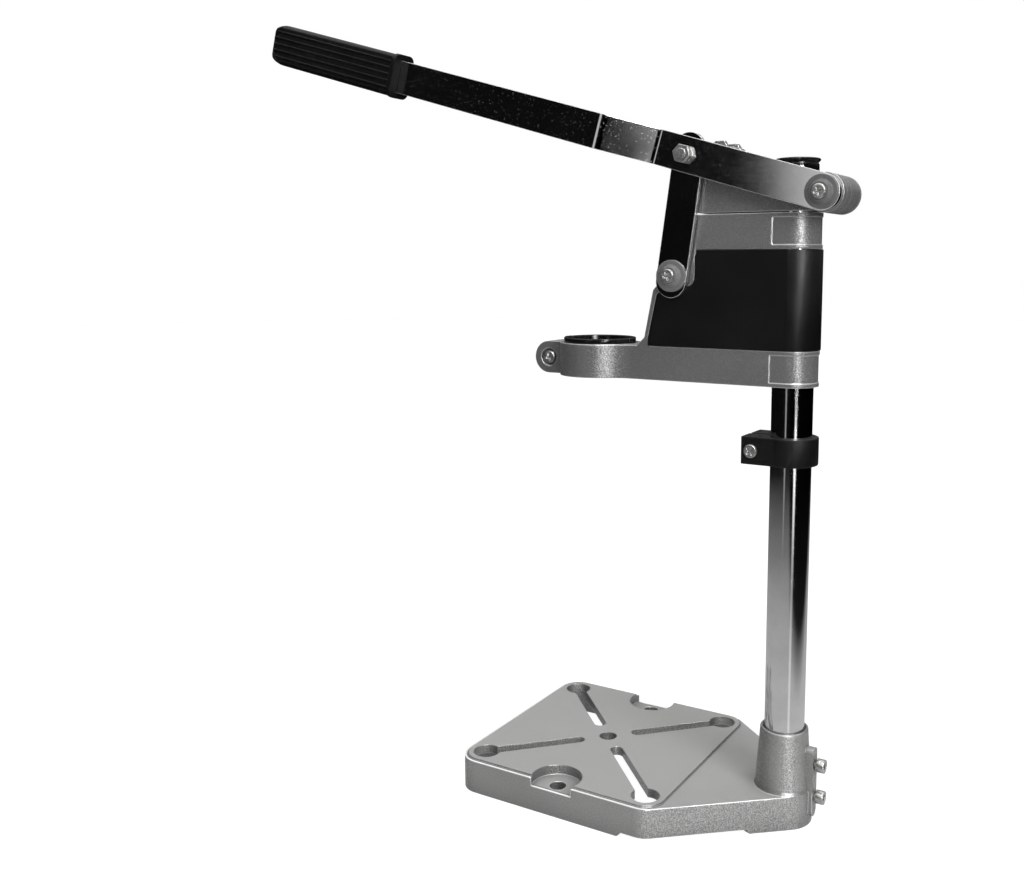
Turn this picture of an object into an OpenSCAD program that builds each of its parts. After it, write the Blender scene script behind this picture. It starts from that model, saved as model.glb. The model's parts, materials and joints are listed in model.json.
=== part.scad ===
// Bench stand for a hand-held drill: cast base, chromed column, sprung carriage with a collar, hand lever.
// Millimetres. The column's axis is Z and the bench is Z = 0. The collar and the handle point to -X.
// The lever and the link run past the -Y face of the castings.

/* [Overall] */
// Height of the stand with the lever up
overall_h = 515; // [500:1:530]
// Height of the column with its cap
column_h = 410; // [400:1:420]
// Diameter of the column
column_d = 25; // [20:0.5:26]
// Wall of the column tube
column_wall = 2; // [1.5:0.1:4]

/* [Base] */
// Side of the square part of the base
base_side = 150; // [130:1:200]
// Height of the base
base_h = 23; // [20:0.5:30]
// Column axis to the near edge of the square
base_setback = 52.5; // [45:0.5:80]
// Radius of the corners of the square
base_corner_r = 15; // [13:0.5:22]
// Thickness of the top of the base
base_top_t = 6; // [4:0.5:8]
// Thickness of the walls of the base
base_wall = 4; // [3:0.5:6]
// Step from the web up to the machined top
machined_step = 1.2; // [0.5:0.1:2]
// Edge of the square to the machined top
machined_margin = 2.5; // [1:0.5:4]
// Thickness of the ribs under the base
base_rib_t = 4; // [3:0.5:6]
// Height of the ribs and of the boss round the middle hole under the base
base_rib_h = 2; // [1:0.5:8]
// Height of the relief under the walls between the feet
foot_relief = 3; // [1:0.5:5]
// Middle of the square to the edge of the relief
foot_relief_from = 51; // [40:1:60]
// Radius of the foot round the socket
socket_foot_reach = 35; // [25:1:40]

/* [Holes in the base] */
// Diameter of the round end of a keyhole
keyhole_d = 18; // [12:0.5:20]
// Side of the square to the middle of a keyhole
keyhole_inset = 15; // [14:0.5:25]
// Width of a slot
slot_w = 8.5; // [6:0.5:10]
// Middle of the square to the inner end of a slot, along each side
slot_gap = 15; // [13:0.5:25]
// Diameter of the hole in the middle
centre_hole_d = 12; // [8:0.5:14]
// Diameter of the bolt hole in each edge pocket
edge_hole_d = 11; // [8:0.5:12]
// Distance between the two edge bolt holes
edge_hole_span = 132; // [126:1:136]
// Radius of an edge pocket
pocket_r = 16.5; // [13:0.5:20]
// Side of the square to the middle of a pocket
pocket_inset = 7.5; // [5:0.5:10]
// Depth of an edge pocket
pocket_depth = 6.5; // [3:0.5:8]

/* [Socket] */
// Height of the socket
socket_h = 60; // [50:1:80]
// Diameter of the socket at its top
socket_top_d = 30; // [29.5:0.5:36]
// Diameter of the socket above the base
socket_mid_d = 35; // [33:0.5:42]
// Diameter of the foot of the socket
socket_foot_d = 37; // [35:0.5:50]
// Thickness of the floor that the column stands on
socket_floor = 5; // [3:0.5:8]
// Width of the screw pad
pad_w = 8; // [7.5:0.5:12]
// Column axis to the face of the screw pad
pad_reach = 20.6; // [20.5:0.1:24]
// Underside of the screw pad
pad_low = 5; // [4:0.5:8]
// Top of the screw pad
pad_high = 50; // [46:0.5:54]
// Height of the lower socket screw
socket_screw_low = 18.3; // [14:0.1:22]
// Height of the upper socket screw
socket_screw_high = 39; // [34:0.5:42]

/* [Column cap] */
// Diameter of the cap's flange
cap_flange_d = 26.6; // [26:0.1:30]
// Diameter of the cap's neck
cap_neck_d = 24; // [22:0.1:25]
// Thickness of the flange's edge
cap_edge_t = 1; // [0.6:0.1:1.5]
// Height of the cap above the tube
cap_h = 4.4; // [4:0.1:8]
// Depth of the cap's plug in the tube
cap_plug_l = 12; // [8:0.5:20]

/* [Stop ring] */
// Carriage down to the top of the stop ring, lever up
stop_gap = 31; // [30:1:150]
// Height of the stop ring
stop_h = 17; // [14:0.5:17]
// Outer diameter of the stop ring
stop_d = 33; // [31:0.5:38]
// Column axis to the end of the jaws
stop_reach = 26.6; // [26:0.1:32]
// Width over the two jaws
stop_w = 31; // [28:0.5:33]
// Width of the slot between the jaws
stop_slot = 2; // [1:0.1:3]
// Column axis to the clamping screw
stop_screw_x = 20; // [19.8:0.1:21]

/* [Carriage] */
// Top of the column cap down to the underside of the carriage, lever up
carriage_drop = 134; // [133:0.5:134]
// Width of the castings
carriage_w = 31; // [30.5:0.1:33]
// Height of the lower arm
arm_h = 21.5; // [20:0.1:22]
// Height of the window that the cover fills
window_h = 60; // [58:0.5:61]
// Height of the upper lug
lug_h = 21; // [18:0.5:21]
// Column axis to the free end of the upper lug
lug_reach = 60.4; // [59:0.1:61]
// Thickness of the slanted web
web_t = 2.5; // [2:0.1:4]
// Collar's axis to the foot of the slanted web
web_foot_in = 41; // [38:0.5:42]
// How far the slanted web leans toward the column up to the link pin
web_lean = 6; // [5:0.5:7]
// Depth of the sunk panels on the column bosses
panel_depth = 0.5; // [0.3:0.1:0.6]
// Column axis to the edge of a sunk panel
panel_from = 9.5; // [6:0.5:12]
// Margin above and below a sunk panel
panel_margin = 2.5; // [1.5:0.5:4]
// Wall of the arm
arm_wall = 4; // [3:0.5:5]
// Wall of a guide bush
bush_wall = 1.4; // [1:0.1:1.6]

/* [Cover] */
// Wall of the cover
cover_wall = 1.4; // [1:0.1:1.6]
// How far the cover stands proud of the castings
cover_proud = 0.6; // [0.4:0.1:0.7]

/* [Drill collar] */
// Column axis to the collar's axis
collar_reach = 134; // [133:0.5:140]
// Bore of the collar
collar_bore = 43; // [42:0.5:44]
// Wall of the collar
collar_wall = 5; // [4:0.5:7]
// Radius of the blend from the collar to the arm
collar_blend_r = 25; // [15:1:35]
// Width of the slit in the collar
collar_slit = 2.4; // [1.5:0.1:3]
// Collar's axis to the clamping screw
ear_reach = 34.5; // [34.5:0.5:38]
// Thickness of one clamping ear
ear_t = 7.8; // [7:0.1:10]
// Diameter of the counterbore in the near ear
ear_counterbore_d = 12; // [11:0.5:14]
// Depth of the counterbore
ear_counterbore_depth = 2.5; // [1.5:0.5:3]
// Bore of the reducer ring
reducer_bore = 38; // [36:0.5:39]
// Diameter of the reducer ring's flange
reducer_flange_d = 47.8; // [46:0.1:50]
// Thickness of the reducer ring's flange
reducer_flange_t = 3.2; // [2:0.1:4]
// Width of a lifting tab on the flange
reducer_tab_w = 6; // [4:0.5:8]
// How far a lifting tab stands out
reducer_tab_out = 1.5; // [1:0.5:2.5]

/* [Head bracket] */
// Gap between the carriage and the bracket, lever up
bracket_gap = 0.8; // [0.6:0.1:1.2]
// Column axis to the free end of the bracket
bracket_reach = 57.5; // [57:0.1:58]
// Height of the bracket's clamp
bracket_h = 18.7; // [16:0.1:20]
// Height of the bracket's cheeks at the free end
bracket_cheek_h = 22; // [20:0.5:24]
// Height of the bracket's cheeks over the window
bracket_peak_h = 29; // [27:0.5:30]
// Height of the bracket's clamping lugs
bracket_lug_h = 39; // [38:0.5:40]
// Width over the bracket's clamping lugs
bracket_lug_w = 16; // [14:0.5:18]
// Length of the bracket's clamping lugs
bracket_lug_l = 20; // [19:0.5:22]
// Width of the split in the bracket
bracket_split = 2.5; // [1.5:0.1:3]
// Column axis to the clamping bolt
bracket_bolt_x = 45; // [44:0.5:46]
// Column axis to the lever's pivot
pivot_x = 22.7; // [22:0.1:24]
// Top of the cap down to the lever's pivot
pivot_drop = 21.1; // [20.5:0.1:21.5]
// Diameter of the pivot boss
pivot_boss_d = 22.5; // [20:0.5:23]
// Column axis to the far end of the pivot boss
pivot_boss_far = 15; // [12:0.5:18]

/* [Lever] */
// Height of the lever bar
lever_w = 21; // [18:0.5:22]
// Thickness of the lever bar
lever_t = 5; // [4:0.5:6]
// Column axis to the back of the lever bar
lever_y = 20; // [19.8:0.1:21]
// Pivot to the link bolt
link_arm = 88.2; // [87.8:0.1:89]
// Pivot to the start of the jog
jog_start = 109; // [105:0.5:115]
// Length of the jog along the lever
jog_l = 29.6; // [25:0.2:35]
// How far the jog brings the handle outward
jog_out = 20; // [10:0.5:25]
// Inner radius of the two bends of the jog
bend_r = 5; // [2:0.5:8]
// Pivot to the mouth of the grip
grip_start = 297; // [280:1:300]
// Length of the grip
grip_l = 115.5; // [100:0.5:125]
// Height of the grip
grip_w = 27.4; // [25:0.2:30]
// Thickness of the grip
grip_t = 18; // [14:0.5:22]
// Radius of the edges along the grip
grip_edge_r = 4.5; // [3:0.5:6.5]
// Radius of the corners of the grip's outer end
grip_end_r = 12; // [8:0.5:12]
// Depth of the bar in the grip
grip_hold = 98; // [60:1:100]
// Number of grooves on each side of the grip
grip_grooves = 6; // [3:1:8]
// Width of the rib between two grooves
rib_w = 1; // [0.6:0.1:2]
// Depth of a groove
groove_depth = 0.7; // [0.4:0.1:1]
// Length of the lip at the grip's mouth
grip_lip_l = 3; // [3:0.5:6]
// How far the lip stands out all round
grip_lip_out = 0.6; // [0.5:0.1:1.5]

/* [Link] */
// Width of the link
link_w = 20; // [18:0.5:21]
// Thickness of the link
link_t = 3; // [2.5:0.1:3.1]
// Link hole to the end of the link
link_end = 13.5; // [12:0.5:14]
// Column axis to the link pin on the carriage
link_pin_x = 72.5; // [72:0.1:74]
// Underside of the carriage up to the link pin
link_pin_rise = 65.5; // [64.5:0.1:66]
// Clearance round the link pin, which lets the linkage close
link_pin_play = 1.2; // [1.1:0.1:1.4]

/* [Pivot bushes] */
// Diameter of a pivot bush's flange
bush_flange_d = 19.5; // [17:0.1:21]
// Thickness of a pivot bush's flange
bush_flange_t = 1.5; // [1:0.1:2]
// Diameter of a pivot bush's sleeve
bush_sleeve_d = 12; // [10:0.5:13]
// Foot diameter of the cone on a pivot bush
bush_cone_foot_d = 14; // [12:0.5:16]
// Top diameter of the cone on a pivot bush
bush_cone_top_d = 11; // [10:0.1:12]
// Height of the cone on a pivot bush
bush_cone_h = 2.7; // [2:0.1:4]

/* [Return spring] */
// Wire of the return spring
spring_wire = 1.4; // [1:0.1:1.5]
// Turns of the return spring
spring_turns = 6; // [4:1:8]
// Height of the spring's seat collar
seat_h = 7.5; // [6:0.5:9]
// Gap between the lower arm and the seat collar
seat_lift = 1; // [0.8:0.1:2]
// Column axis to the end of the seat collar's screw block
seat_block_reach = 24; // [20:0.5:28]
// Width of the seat collar's screw block
seat_block_w = 12; // [10:0.5:16]

/* [Fasteners] */
// Shank of the large bolts
bolt_d = 6; // [5:0.5:6.5]
// Width across flats of the large bolts
bolt_af = 10; // [9:0.5:10]
// Height of a large bolt head
bolt_head_h = 4; // [3:0.5:4]
// Height of a large nut
bolt_nut_h = 5; // [4:0.5:6]
// Shank of the small screws
screw_d = 5; // [4:0.5:5]
// Head diameter of the small screws
screw_head_d = 8.4; // [7.5:0.1:9]
// Height of a round screw head
screw_head_h = 2; // [1.6:0.1:3]
// Width across flats of a small nut
screw_nut_af = 8; // [7:0.5:8.5]
// Height of a small nut
screw_nut_h = 4; // [3:0.5:5]
// Height of a socket screw's head
cap_head_h = 5; // [4:0.5:6]
// Shank that shows under a socket screw's head
cap_shank_show = 1.5; // [1:0.5:4]

/* [Clearances] */
// Radial clearance of a running fit
running_gap = 0.05; // [0.03:0.01:0.1]
// Radial clearance of a fastener in its hole
hole_gap = 0.1; // [0.05:0.05:0.2]
// Gap between parts that lie face to face
seat_gap = 0.05; // [0.02:0.01:0.1]
// Gap between the cover and what is round it
cover_gap = 0.2; // [0.1:0.05:0.3]

/* [Hidden] */

$fn = 96;
// Overrun of a cut past the face that it opens
over = 1;
// Overlap of two bodies that are joined
lap = over / 4;

// Castings, chrome and plastics as they look
cast_light = [0.62, 0.62, 0.61];
cast_dark = [0.42, 0.42, 0.42];
chrome = [0.80, 0.80, 0.81];
zinc = [0.72, 0.72, 0.70];
plastic_black = [0.07, 0.07, 0.07];
bush_grey = [0.34, 0.34, 0.34];

// Places in the base
base_x = -(base_setback + base_side / 2);
corner_at = base_side / 2 - base_corner_r;
keyhole_at = base_side / 2 - keyhole_inset;
pocket_at = base_side / 2 - pocket_inset;
web_top = base_h - machined_step;
cavity_top = base_h - base_top_t;
pocket_floor = base_h - pocket_depth;
rib_low = cavity_top - base_rib_h;
relief_slant = foot_relief;
socket_lead = machined_step;
pad_corner_r = pad_w / 3;

// Heights along the column
tube_top = column_h - cap_h;
tube_bore_d = column_d - 2 * column_wall;
guide_d = column_d + 2 * running_gap;
carriage_z = column_h - carriage_drop;
arm_top = carriage_z + arm_h;
lug_low = arm_top + window_h;
lug_top = lug_low + lug_h;
bracket_z = lug_top + bracket_gap;
bracket_top = bracket_z + bracket_h;
pivot = [pivot_x, column_h - pivot_drop];
casting_y = carriage_w / 2;
stop_z = carriage_z - stop_gap - stop_h;
stop_mid = stop_z + stop_h / 2;

// Rest angle of the lever, found from the overall height and the corner of the grip that stands highest
grip_tip = grip_start + grip_l;
peak_along = grip_tip - grip_end_r;
peak_up = grip_w / 2 - grip_end_r;
peak_rise = overall_h - pivot[1] - grip_end_r;
lever_angle = asin(peak_rise / norm([peak_along, peak_up])) - atan2(peak_up, peak_along);

// Joints of the link
link_top = pivot + link_arm * [-cos(lever_angle), sin(lever_angle)];
link_pin = [-link_pin_x, carriage_z + link_pin_rise];
link_lean = atan2(link_top[0] - link_pin[0], link_top[1] - link_pin[1]);
link_span = norm(link_top - link_pin);
link_hole_d = bush_sleeve_d + 2 * link_pin_play;

// Stack of the link joint, from the casting outward to -Y
link_pin_shim = 0.8;
link_back_y = -(casting_y + link_pin_shim + 4 * seat_gap);
link_front_y = link_back_y - link_t;
link_shim = lever_y + link_front_y - 2 * seat_gap;
lever_front_y = -(lever_y + lever_t);

// Stack of the lever pivot
pivot_shim = 1.1;
pivot_shim_d = 21;
pivot_face_y = -(lever_y - pivot_shim - 2 * seat_gap);

// Inner end of the link boss and its shoulder strip
link_boss_r = 9;
link_boss_top_r = 5.5;
link_boss_strip_r = 4.7;
link_boss_strip_x = link_pin_x - link_boss_r;
link_boss_strip_low = 1.2;
// How far the top of the boss reaches into the upper lug
link_boss_bite = 0.5;

// Slanted web
web_foot_x = collar_reach - web_foot_in;
web_shoulder_x = web_foot_x - web_lean;

// Cover and its cut round the link boss
cover_r = casting_y + cover_proud;
cover_low = arm_top + cover_gap;
cover_high = lug_low - cover_gap;

// Collar
collar_x = -collar_reach;
collar_r = collar_bore / 2 + collar_wall;
ear_x = collar_x - ear_reach;
ear_r = arm_h / 2;
ear_z = carriage_z + ear_r;
ear_y = collar_slit / 2 + ear_t;
blend_x = collar_x + sqrt(pow(collar_r + collar_blend_r, 2) - pow(casting_y + collar_blend_r, 2));

// Spring
seat_z = arm_top + seat_lift;
spring_r = column_d / 2 + cover_gap + spring_wire / 2;
spring_low = seat_z + seat_h + seat_gap + spring_wire / 2;
spring_high = lug_low - seat_gap - spring_wire / 2;
spring_steps = 24;
spring_sides = 6;
spring_d = 2 * spring_r + spring_wire;

// Bracket bolt, its head and nut turned to show a flat on top
flat_up = 30;
bracket_bolt = [-bracket_bolt_x, bracket_z + bracket_lug_h - bolt_d / 4];

// Cross recess of the round screws
recess_w_share = 0.16;
recess_l_share = 0.62;
recess_depth_share = 0.5;
recess_turn = 20;

function direction(a) = [cos(a), sin(a)];

// The four points where a belt leaves two discs
function belt_points(p, r, q, s) =
    let (a = atan2(q[1] - p[1], q[0] - p[0]), b = acos((r - s) / norm(q - p)))
    [p + r * direction(a + b), p + r * direction(a - b), q + s * direction(a - b), q + s * direction(a + b)];

// Points of an arc round a centre
function arc_points(centre, r, from, to, steps = 8) =
    [for (i = [0:steps]) centre + r * direction(from + (to - from) * i / steps)];

// Disc r at p and disc s at q, with the belt round both
module belt(p, r, q, s) {
    polygon(belt_points(p, r, q, s));
    translate(p) circle(r);
    translate(q) circle(s);
}

// Extrusion of an outline in X and Z between two places on Y
module along_y(from, to) {
    translate([0, to, 0]) rotate([90, 0, 0]) linear_extrude(to - from) children();
}

// Extrusion of an outline in Y and Z between two places on X
module along_x(from, to) {
    translate([from, 0, 0]) rotate([90, 0, 90]) linear_extrude(to - from) children();
}

// Round bar along Y at a place in X and Z
module pin_y(at, d, from, to) {
    translate([at[0], to, at[1]]) rotate([90, 0, 0]) cylinder(d = d, h = to - from);
}

// Round bar along X at a height
module pin_x(z, d, from, to) {
    translate([from, 0, z]) rotate([0, 90, 0]) cylinder(d = d, h = to - from);
}

// Hexagon with two corners up
module hexagon(across) {
    rotate([0, 0, 30]) circle(d = across / cos(30), $fn = 6);
}

// Hexagonal bar along Y at a place in X and Z, turned by an angle
module hex_y(at, across, from, to, turn = 0) {
    along_y(from, to) translate(at) rotate([0, 0, turn]) hexagon(across);
}

// Cross recess cut into a round head whose face looks to -Y
module cross_recess(at, head_d, face_y, turn) {
    for (a = [0, 90])
        along_y(face_y - over, face_y + head_d * recess_w_share * 2 * recess_depth_share)
            translate(at) rotate([0, 0, a + turn])
                square([head_d * recess_l_share, head_d * recess_w_share], center = true);
}

// Round-headed screw with its head toward -Y, from the face under its head to its tip
module cross_screw(at, d, head_d, head_h, seat_y, tip_y, turn = recess_turn) {
    edge = head_h / 4;
    difference() {
        union() {
            pin_y(at, d, seat_y - lap, tip_y);
            pin_y(at, head_d, seat_y - head_h + edge, seat_y);
            translate([at[0], seat_y - head_h + edge, at[1]]) rotate([90, 0, 0])
                cylinder(d1 = head_d, d2 = head_d - 2 * edge, h = edge);
        }
        cross_recess(at, head_d, seat_y - head_h, turn);
    }
}

// Nut along Y round a shank
module nut_y(at, across, bore_d, from, to, turn = 0) {
    difference() {
        hex_y(at, across, from, to, turn);
        pin_y(at, bore_d, from - over, to + over);
    }
}

// Washer along Y
module washer_y(at, d, bore_d, from, to) {
    difference() {
        pin_y(at, d, from, to);
        pin_y(at, bore_d, from - over, to + over);
    }
}

// Round-cornered square of the base, drawn in from its edge
module base_square(inset) {
    reach = corner_at;
    r = base_corner_r - inset;
    translate([base_x, 0]) {
        square([2 * (reach + r), 2 * reach], center = true);
        square([2 * reach, 2 * (reach + r)], center = true);
        for (x = [-reach, reach])
            for (y = [-reach, reach])
                translate([x, y]) circle(r);
    }
}

// Outline of the whole base, drawn in from its edge
module base_outline(inset) {
    base_square(inset);
    for (side = [-1, 1]) {
        corner = [base_x + corner_at, side * corner_at];
        belt(corner, base_corner_r - inset, [0, 0], socket_foot_d / 2 - inset);
    }
    polygon([[base_x, -corner_at], [base_x + corner_at, -corner_at], [0, 0],
        [base_x + corner_at, corner_at], [base_x, corner_at]]);
}

// Hollow under the base between its walls, bosses and ribs
module base_cavity() {
    difference() {
        translate([0, 0, -over]) linear_extrude(cavity_top + over) base_outline(base_wall);
        cylinder(d = socket_foot_d, h = base_h);
        translate([base_x, 0, rib_low]) cylinder(d = centre_hole_d + 2 * base_wall, h = base_h);
        for (side = [-1, 1])
            translate([base_x, side * pocket_at, pocket_floor - base_top_t])
                cylinder(r = pocket_r + base_wall, h = base_h);
        translate([base_x - base_side / 2, -base_rib_t / 2, rib_low])
            cube([base_side + base_setback, base_rib_t, base_h]);
        translate([base_x - base_rib_t / 2, -base_side / 2, rib_low])
            cube([base_rib_t, base_side, base_h]);
    }
}

// Keyholes with their slots, seen from above
module base_keyholes() {
    for (a = [45:90:315])
        translate([base_x, 0]) rotate([0, 0, a]) {
            translate([keyhole_at * sqrt(2), 0]) circle(d = keyhole_d);
            belt([keyhole_at * sqrt(2), 0], slot_w / 2, [slot_gap * sqrt(2), 0], slot_w / 2);
        }
}

// Relief under the walls between the feet and the round foot of the socket, which widens upward
module base_relief() {
    from = base_x + foot_relief_from;
    difference() {
        along_y(-base_side, base_side)
            polygon([[from - relief_slant - over, -over], [from, foot_relief], [over, foot_relief],
                [over, -over]]);
        translate([0, 0, -2 * over])
            cylinder(r1 = socket_foot_reach - relief_slant, r2 = socket_foot_reach, h = foot_relief + 3 * over);
    }
}

// Tapered socket with its chamfered mouth
module socket_body() {
    rotate_extrude()
        polygon([[0, 0], [socket_foot_d / 2, 0], [socket_foot_d / 2, web_top],
            [socket_mid_d / 2, web_top + base_wall / 2], [socket_top_d / 2, socket_h - socket_lead / 2],
            [socket_top_d / 2 - socket_lead / 2, socket_h], [0, socket_h]]);
}

// Upright pad that takes the two socket screws
module socket_pad() {
    along_x(0, pad_reach)
        belt([0, pad_low + pad_w / 2], pad_w / 2, [0, pad_high - pad_w / 2], pad_w / 2);
    along_x(0, pad_reach)
        translate([-pad_w / 2, pad_low + pad_corner_r])
            square([pad_w, pad_high - pad_low - 2 * pad_corner_r]);
}

module base_casting() {
    color(cast_light)
    difference() {
        union() {
            difference() {
                linear_extrude(web_top) base_outline(0);
                base_cavity();
            }
            translate([0, 0, cavity_top]) linear_extrude(base_top_t) base_square(machined_margin);
            socket_body();
            socket_pad();
        }
        translate([0, 0, -over]) linear_extrude(base_h + 2 * over) base_keyholes();
        translate([base_x, 0, -over]) cylinder(d = centre_hole_d, h = base_h + 2 * over);
        for (side = [-1, 1]) {
            translate([base_x, side * pocket_at, pocket_floor]) cylinder(r = pocket_r, h = base_h);
            translate([base_x, side * edge_hole_span / 2, -over]) cylinder(d = edge_hole_d, h = base_h);
        }
        base_relief();
        translate([0, 0, socket_floor]) cylinder(d = column_d + 2 * running_gap, h = socket_h);
        translate([0, 0, socket_h - socket_lead])
            cylinder(d1 = column_d, d2 = column_d + 2 * socket_lead + over, h = socket_lead + over / 2);
        for (z = [socket_screw_low, socket_screw_high])
            pin_x(z, screw_d + 2 * hole_gap, 0, pad_reach + over);
    }
}

// Socket-head screw along X with its head outward
module cap_screw_x(z) {
    head_from = pad_reach + cap_shank_show;
    key_af = screw_head_d / 2;
    difference() {
        union() {
            pin_x(z, screw_d, column_d / 2 + seat_gap, head_from + lap);
            pin_x(z, screw_head_d, head_from, head_from + cap_head_h);
        }
        along_x(head_from + cap_head_h / 2, head_from + cap_head_h + over)
            translate([0, z]) hexagon(key_af);
    }
}

module socket_screws() {
    color(zinc)
    for (z = [socket_screw_low, socket_screw_high])
        cap_screw_x(z);
}

module column_tube() {
    color(chrome)
    difference() {
        translate([0, 0, socket_floor + seat_gap]) cylinder(d = column_d, h = tube_top - socket_floor - seat_gap);
        translate([0, 0, socket_floor - over]) cylinder(d = tube_bore_d, h = tube_top);
    }
}

module column_cap() {
    r = cap_flange_d / 2;
    neck = cap_neck_d / 2;
    skirt_h = cap_h / 3;
    plug = tube_bore_d / 2 - hole_gap;
    low = tube_top + seat_gap;
    color(plastic_black)
    rotate_extrude()
        polygon([[0, tube_top - cap_plug_l], [plug - cap_edge_t, tube_top - cap_plug_l],
            [plug, tube_top - cap_plug_l + cap_edge_t], [plug, low], [column_d / 2, low],
            [column_d / 2, low + skirt_h / 2], [neck, low + skirt_h], [neck, low + skirt_h + cap_edge_t / 2],
            [r, column_h - cap_edge_t], [r, column_h - cap_edge_t / 2], [r - cap_edge_t / 2, column_h],
            [0, column_h]]);
}

module stop_ring() {
    recess_d = stop_slot;
    recess_in = 3 * recess_d / 2;
    jaw_y = stop_w / 4;
    color(plastic_black)
    difference() {
        translate([0, 0, stop_z]) linear_extrude(stop_h) {
            circle(d = stop_d);
            translate([-stop_reach, -stop_w / 2]) square([stop_reach, stop_w]);
        }
        translate([0, 0, stop_z - over]) cylinder(d = guide_d, h = stop_h + 2 * over);
        translate([-stop_reach - over, -stop_slot / 2, stop_z - over])
            cube([stop_reach + over, stop_slot, stop_h + 2 * over]);
        pin_y([-stop_screw_x, stop_mid], screw_d + 2 * hole_gap, -stop_w, stop_w);
        hex_y([-stop_screw_x, stop_mid], screw_nut_af + 2 * hole_gap, stop_w / 2 - screw_nut_h / 2, stop_w);
        for (side = [-1, 1])
            for (x = [-stop_reach + recess_in, -stop_screw_x + recess_in])
                translate([x, side * jaw_y, stop_z + stop_h - recess_d]) cylinder(d = recess_d, h = 2 * recess_d);
    }
}

module stop_ring_screw() {
    color(zinc)
    cross_screw([-stop_screw_x, stop_mid], screw_d, screw_head_d, screw_head_h,
        -stop_w / 2 - seat_gap, stop_w / 2 + screw_nut_h / 2 + over / 2, 2 * recess_turn);
}

module stop_ring_nut() {
    from = stop_w / 2 - screw_nut_h / 2 + seat_gap;
    color(zinc)
    nut_y([-stop_screw_x, stop_mid], screw_nut_af, screw_d + 2 * hole_gap, from, from + screw_nut_h);
}

// Outline of a lug from its free end to the boss round the column
module lug_outline(reach, half_w) {
    circle(half_w);
    translate([-reach, -half_w]) square([reach, 2 * half_w]);
}

// Concave blend from the collar to one side of the arm
module collar_blend() {
    centre = [blend_x, casting_y + collar_blend_r];
    touch = [collar_x, 0] + collar_r * (centre - [collar_x, 0]) / norm(centre - [collar_x, 0]);
    difference() {
        polygon([[collar_x, 0], [blend_x, 0], [blend_x, casting_y], touch]);
        translate(centre) circle(collar_blend_r);
    }
}

// Outline of the lower arm with the collar, seen from above
module arm_outline() {
    lug_outline(collar_reach, casting_y);
    translate([collar_x, 0]) circle(collar_r);
    collar_blend();
    mirror([0, 1]) collar_blend();
}

// Sunk panel round the column end of a lug
module boss_panel(z, h) {
    translate([0, 0, z + panel_margin]) linear_extrude(h - 2 * panel_margin)
        difference() {
            translate([-panel_from, -carriage_w]) square([2 * carriage_w, 2 * carriage_w]);
            lug_outline(lug_reach, casting_y - panel_depth);
        }
}

// Side view of the slanted web, from its foot on the arm to the upper lug
module web_outline() {
    root = arm_h / 4;
    inner = web_t;
    shoulder_z = link_pin[1] - link_boss_r;
    polygon([[-web_foot_x - root, arm_top - root], [-web_foot_x - root, arm_top],
        [-web_foot_x, arm_top + root], [-web_shoulder_x, shoulder_z],
        [-lug_reach - inner, lug_low + inner], [-lug_reach + inner, lug_low + inner],
        [-lug_reach + inner, lug_low - inner], [-web_shoulder_x + inner, shoulder_z - inner],
        [-web_foot_x + inner, arm_top + root], [-web_foot_x + 2 * inner, arm_top - root]]);
}

// Side view of the boss that carries the link pin
module link_boss_outline(grow = 0) {
    top = [-lug_reach - link_boss_top_r + link_boss_bite, lug_low + link_boss_top_r];
    strip_low = [-link_boss_strip_x, link_pin[1] - link_boss_strip_low];
    strip_high = [-link_boss_strip_x, lug_low + link_boss_strip_r];
    belt(link_pin, link_boss_r + grow, top, link_boss_top_r + grow);
    belt(strip_low, link_boss_strip_r + grow, strip_high, link_boss_strip_r + grow);
}

module carriage_casting() {
    pocket_from = collar_x + collar_r + arm_wall;
    bush_bore = guide_d + 2 * bush_wall;
    color(cast_dark)
    difference() {
        union() {
            translate([0, 0, carriage_z]) linear_extrude(arm_h) arm_outline();
            translate([0, 0, lug_low]) linear_extrude(lug_h) lug_outline(lug_reach, casting_y);
            along_y(-casting_y, casting_y) web_outline();
            along_y(-casting_y, casting_y)
                intersection() {
                    link_boss_outline();
                    translate([-collar_reach, carriage_z]) square([collar_reach, lug_top - carriage_z]);
                }
            along_y(-ear_y, ear_y)
                belt([ear_x, ear_z], ear_r, [collar_x - collar_bore / 2, ear_z], ear_r);
        }
        boss_panel(carriage_z, arm_h);
        boss_panel(lug_low, lug_h);
        translate([pocket_from, -casting_y + arm_wall, carriage_z - over])
            cube([-casting_y - arm_wall - pocket_from, carriage_w - 2 * arm_wall, arm_h - arm_wall + over]);
        translate([-lug_reach + arm_wall, -casting_y + arm_wall, lug_low - over])
            cube([lug_reach - casting_y - 2 * arm_wall, carriage_w - 2 * arm_wall, lug_h - arm_wall + over]);
        translate([collar_x, 0, carriage_z - over]) cylinder(d = collar_bore, h = arm_h + 2 * over);
        translate([ear_x - ear_reach, -collar_slit / 2, carriage_z - over])
            cube([2 * ear_reach, collar_slit, arm_h + 2 * over]);
        for (z = [carriage_z, lug_low])
            translate([0, 0, z - over]) cylinder(d = bush_bore, h = arm_h + 2 * over);
        pin_y([ear_x, ear_z], screw_d + 2 * hole_gap, -carriage_w, carriage_w);
        pin_y([ear_x, ear_z], ear_counterbore_d, -carriage_w, -ear_y + ear_counterbore_depth);
        pin_y(link_pin, screw_d + 2 * hole_gap, -carriage_w, 0);
    }
}

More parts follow.
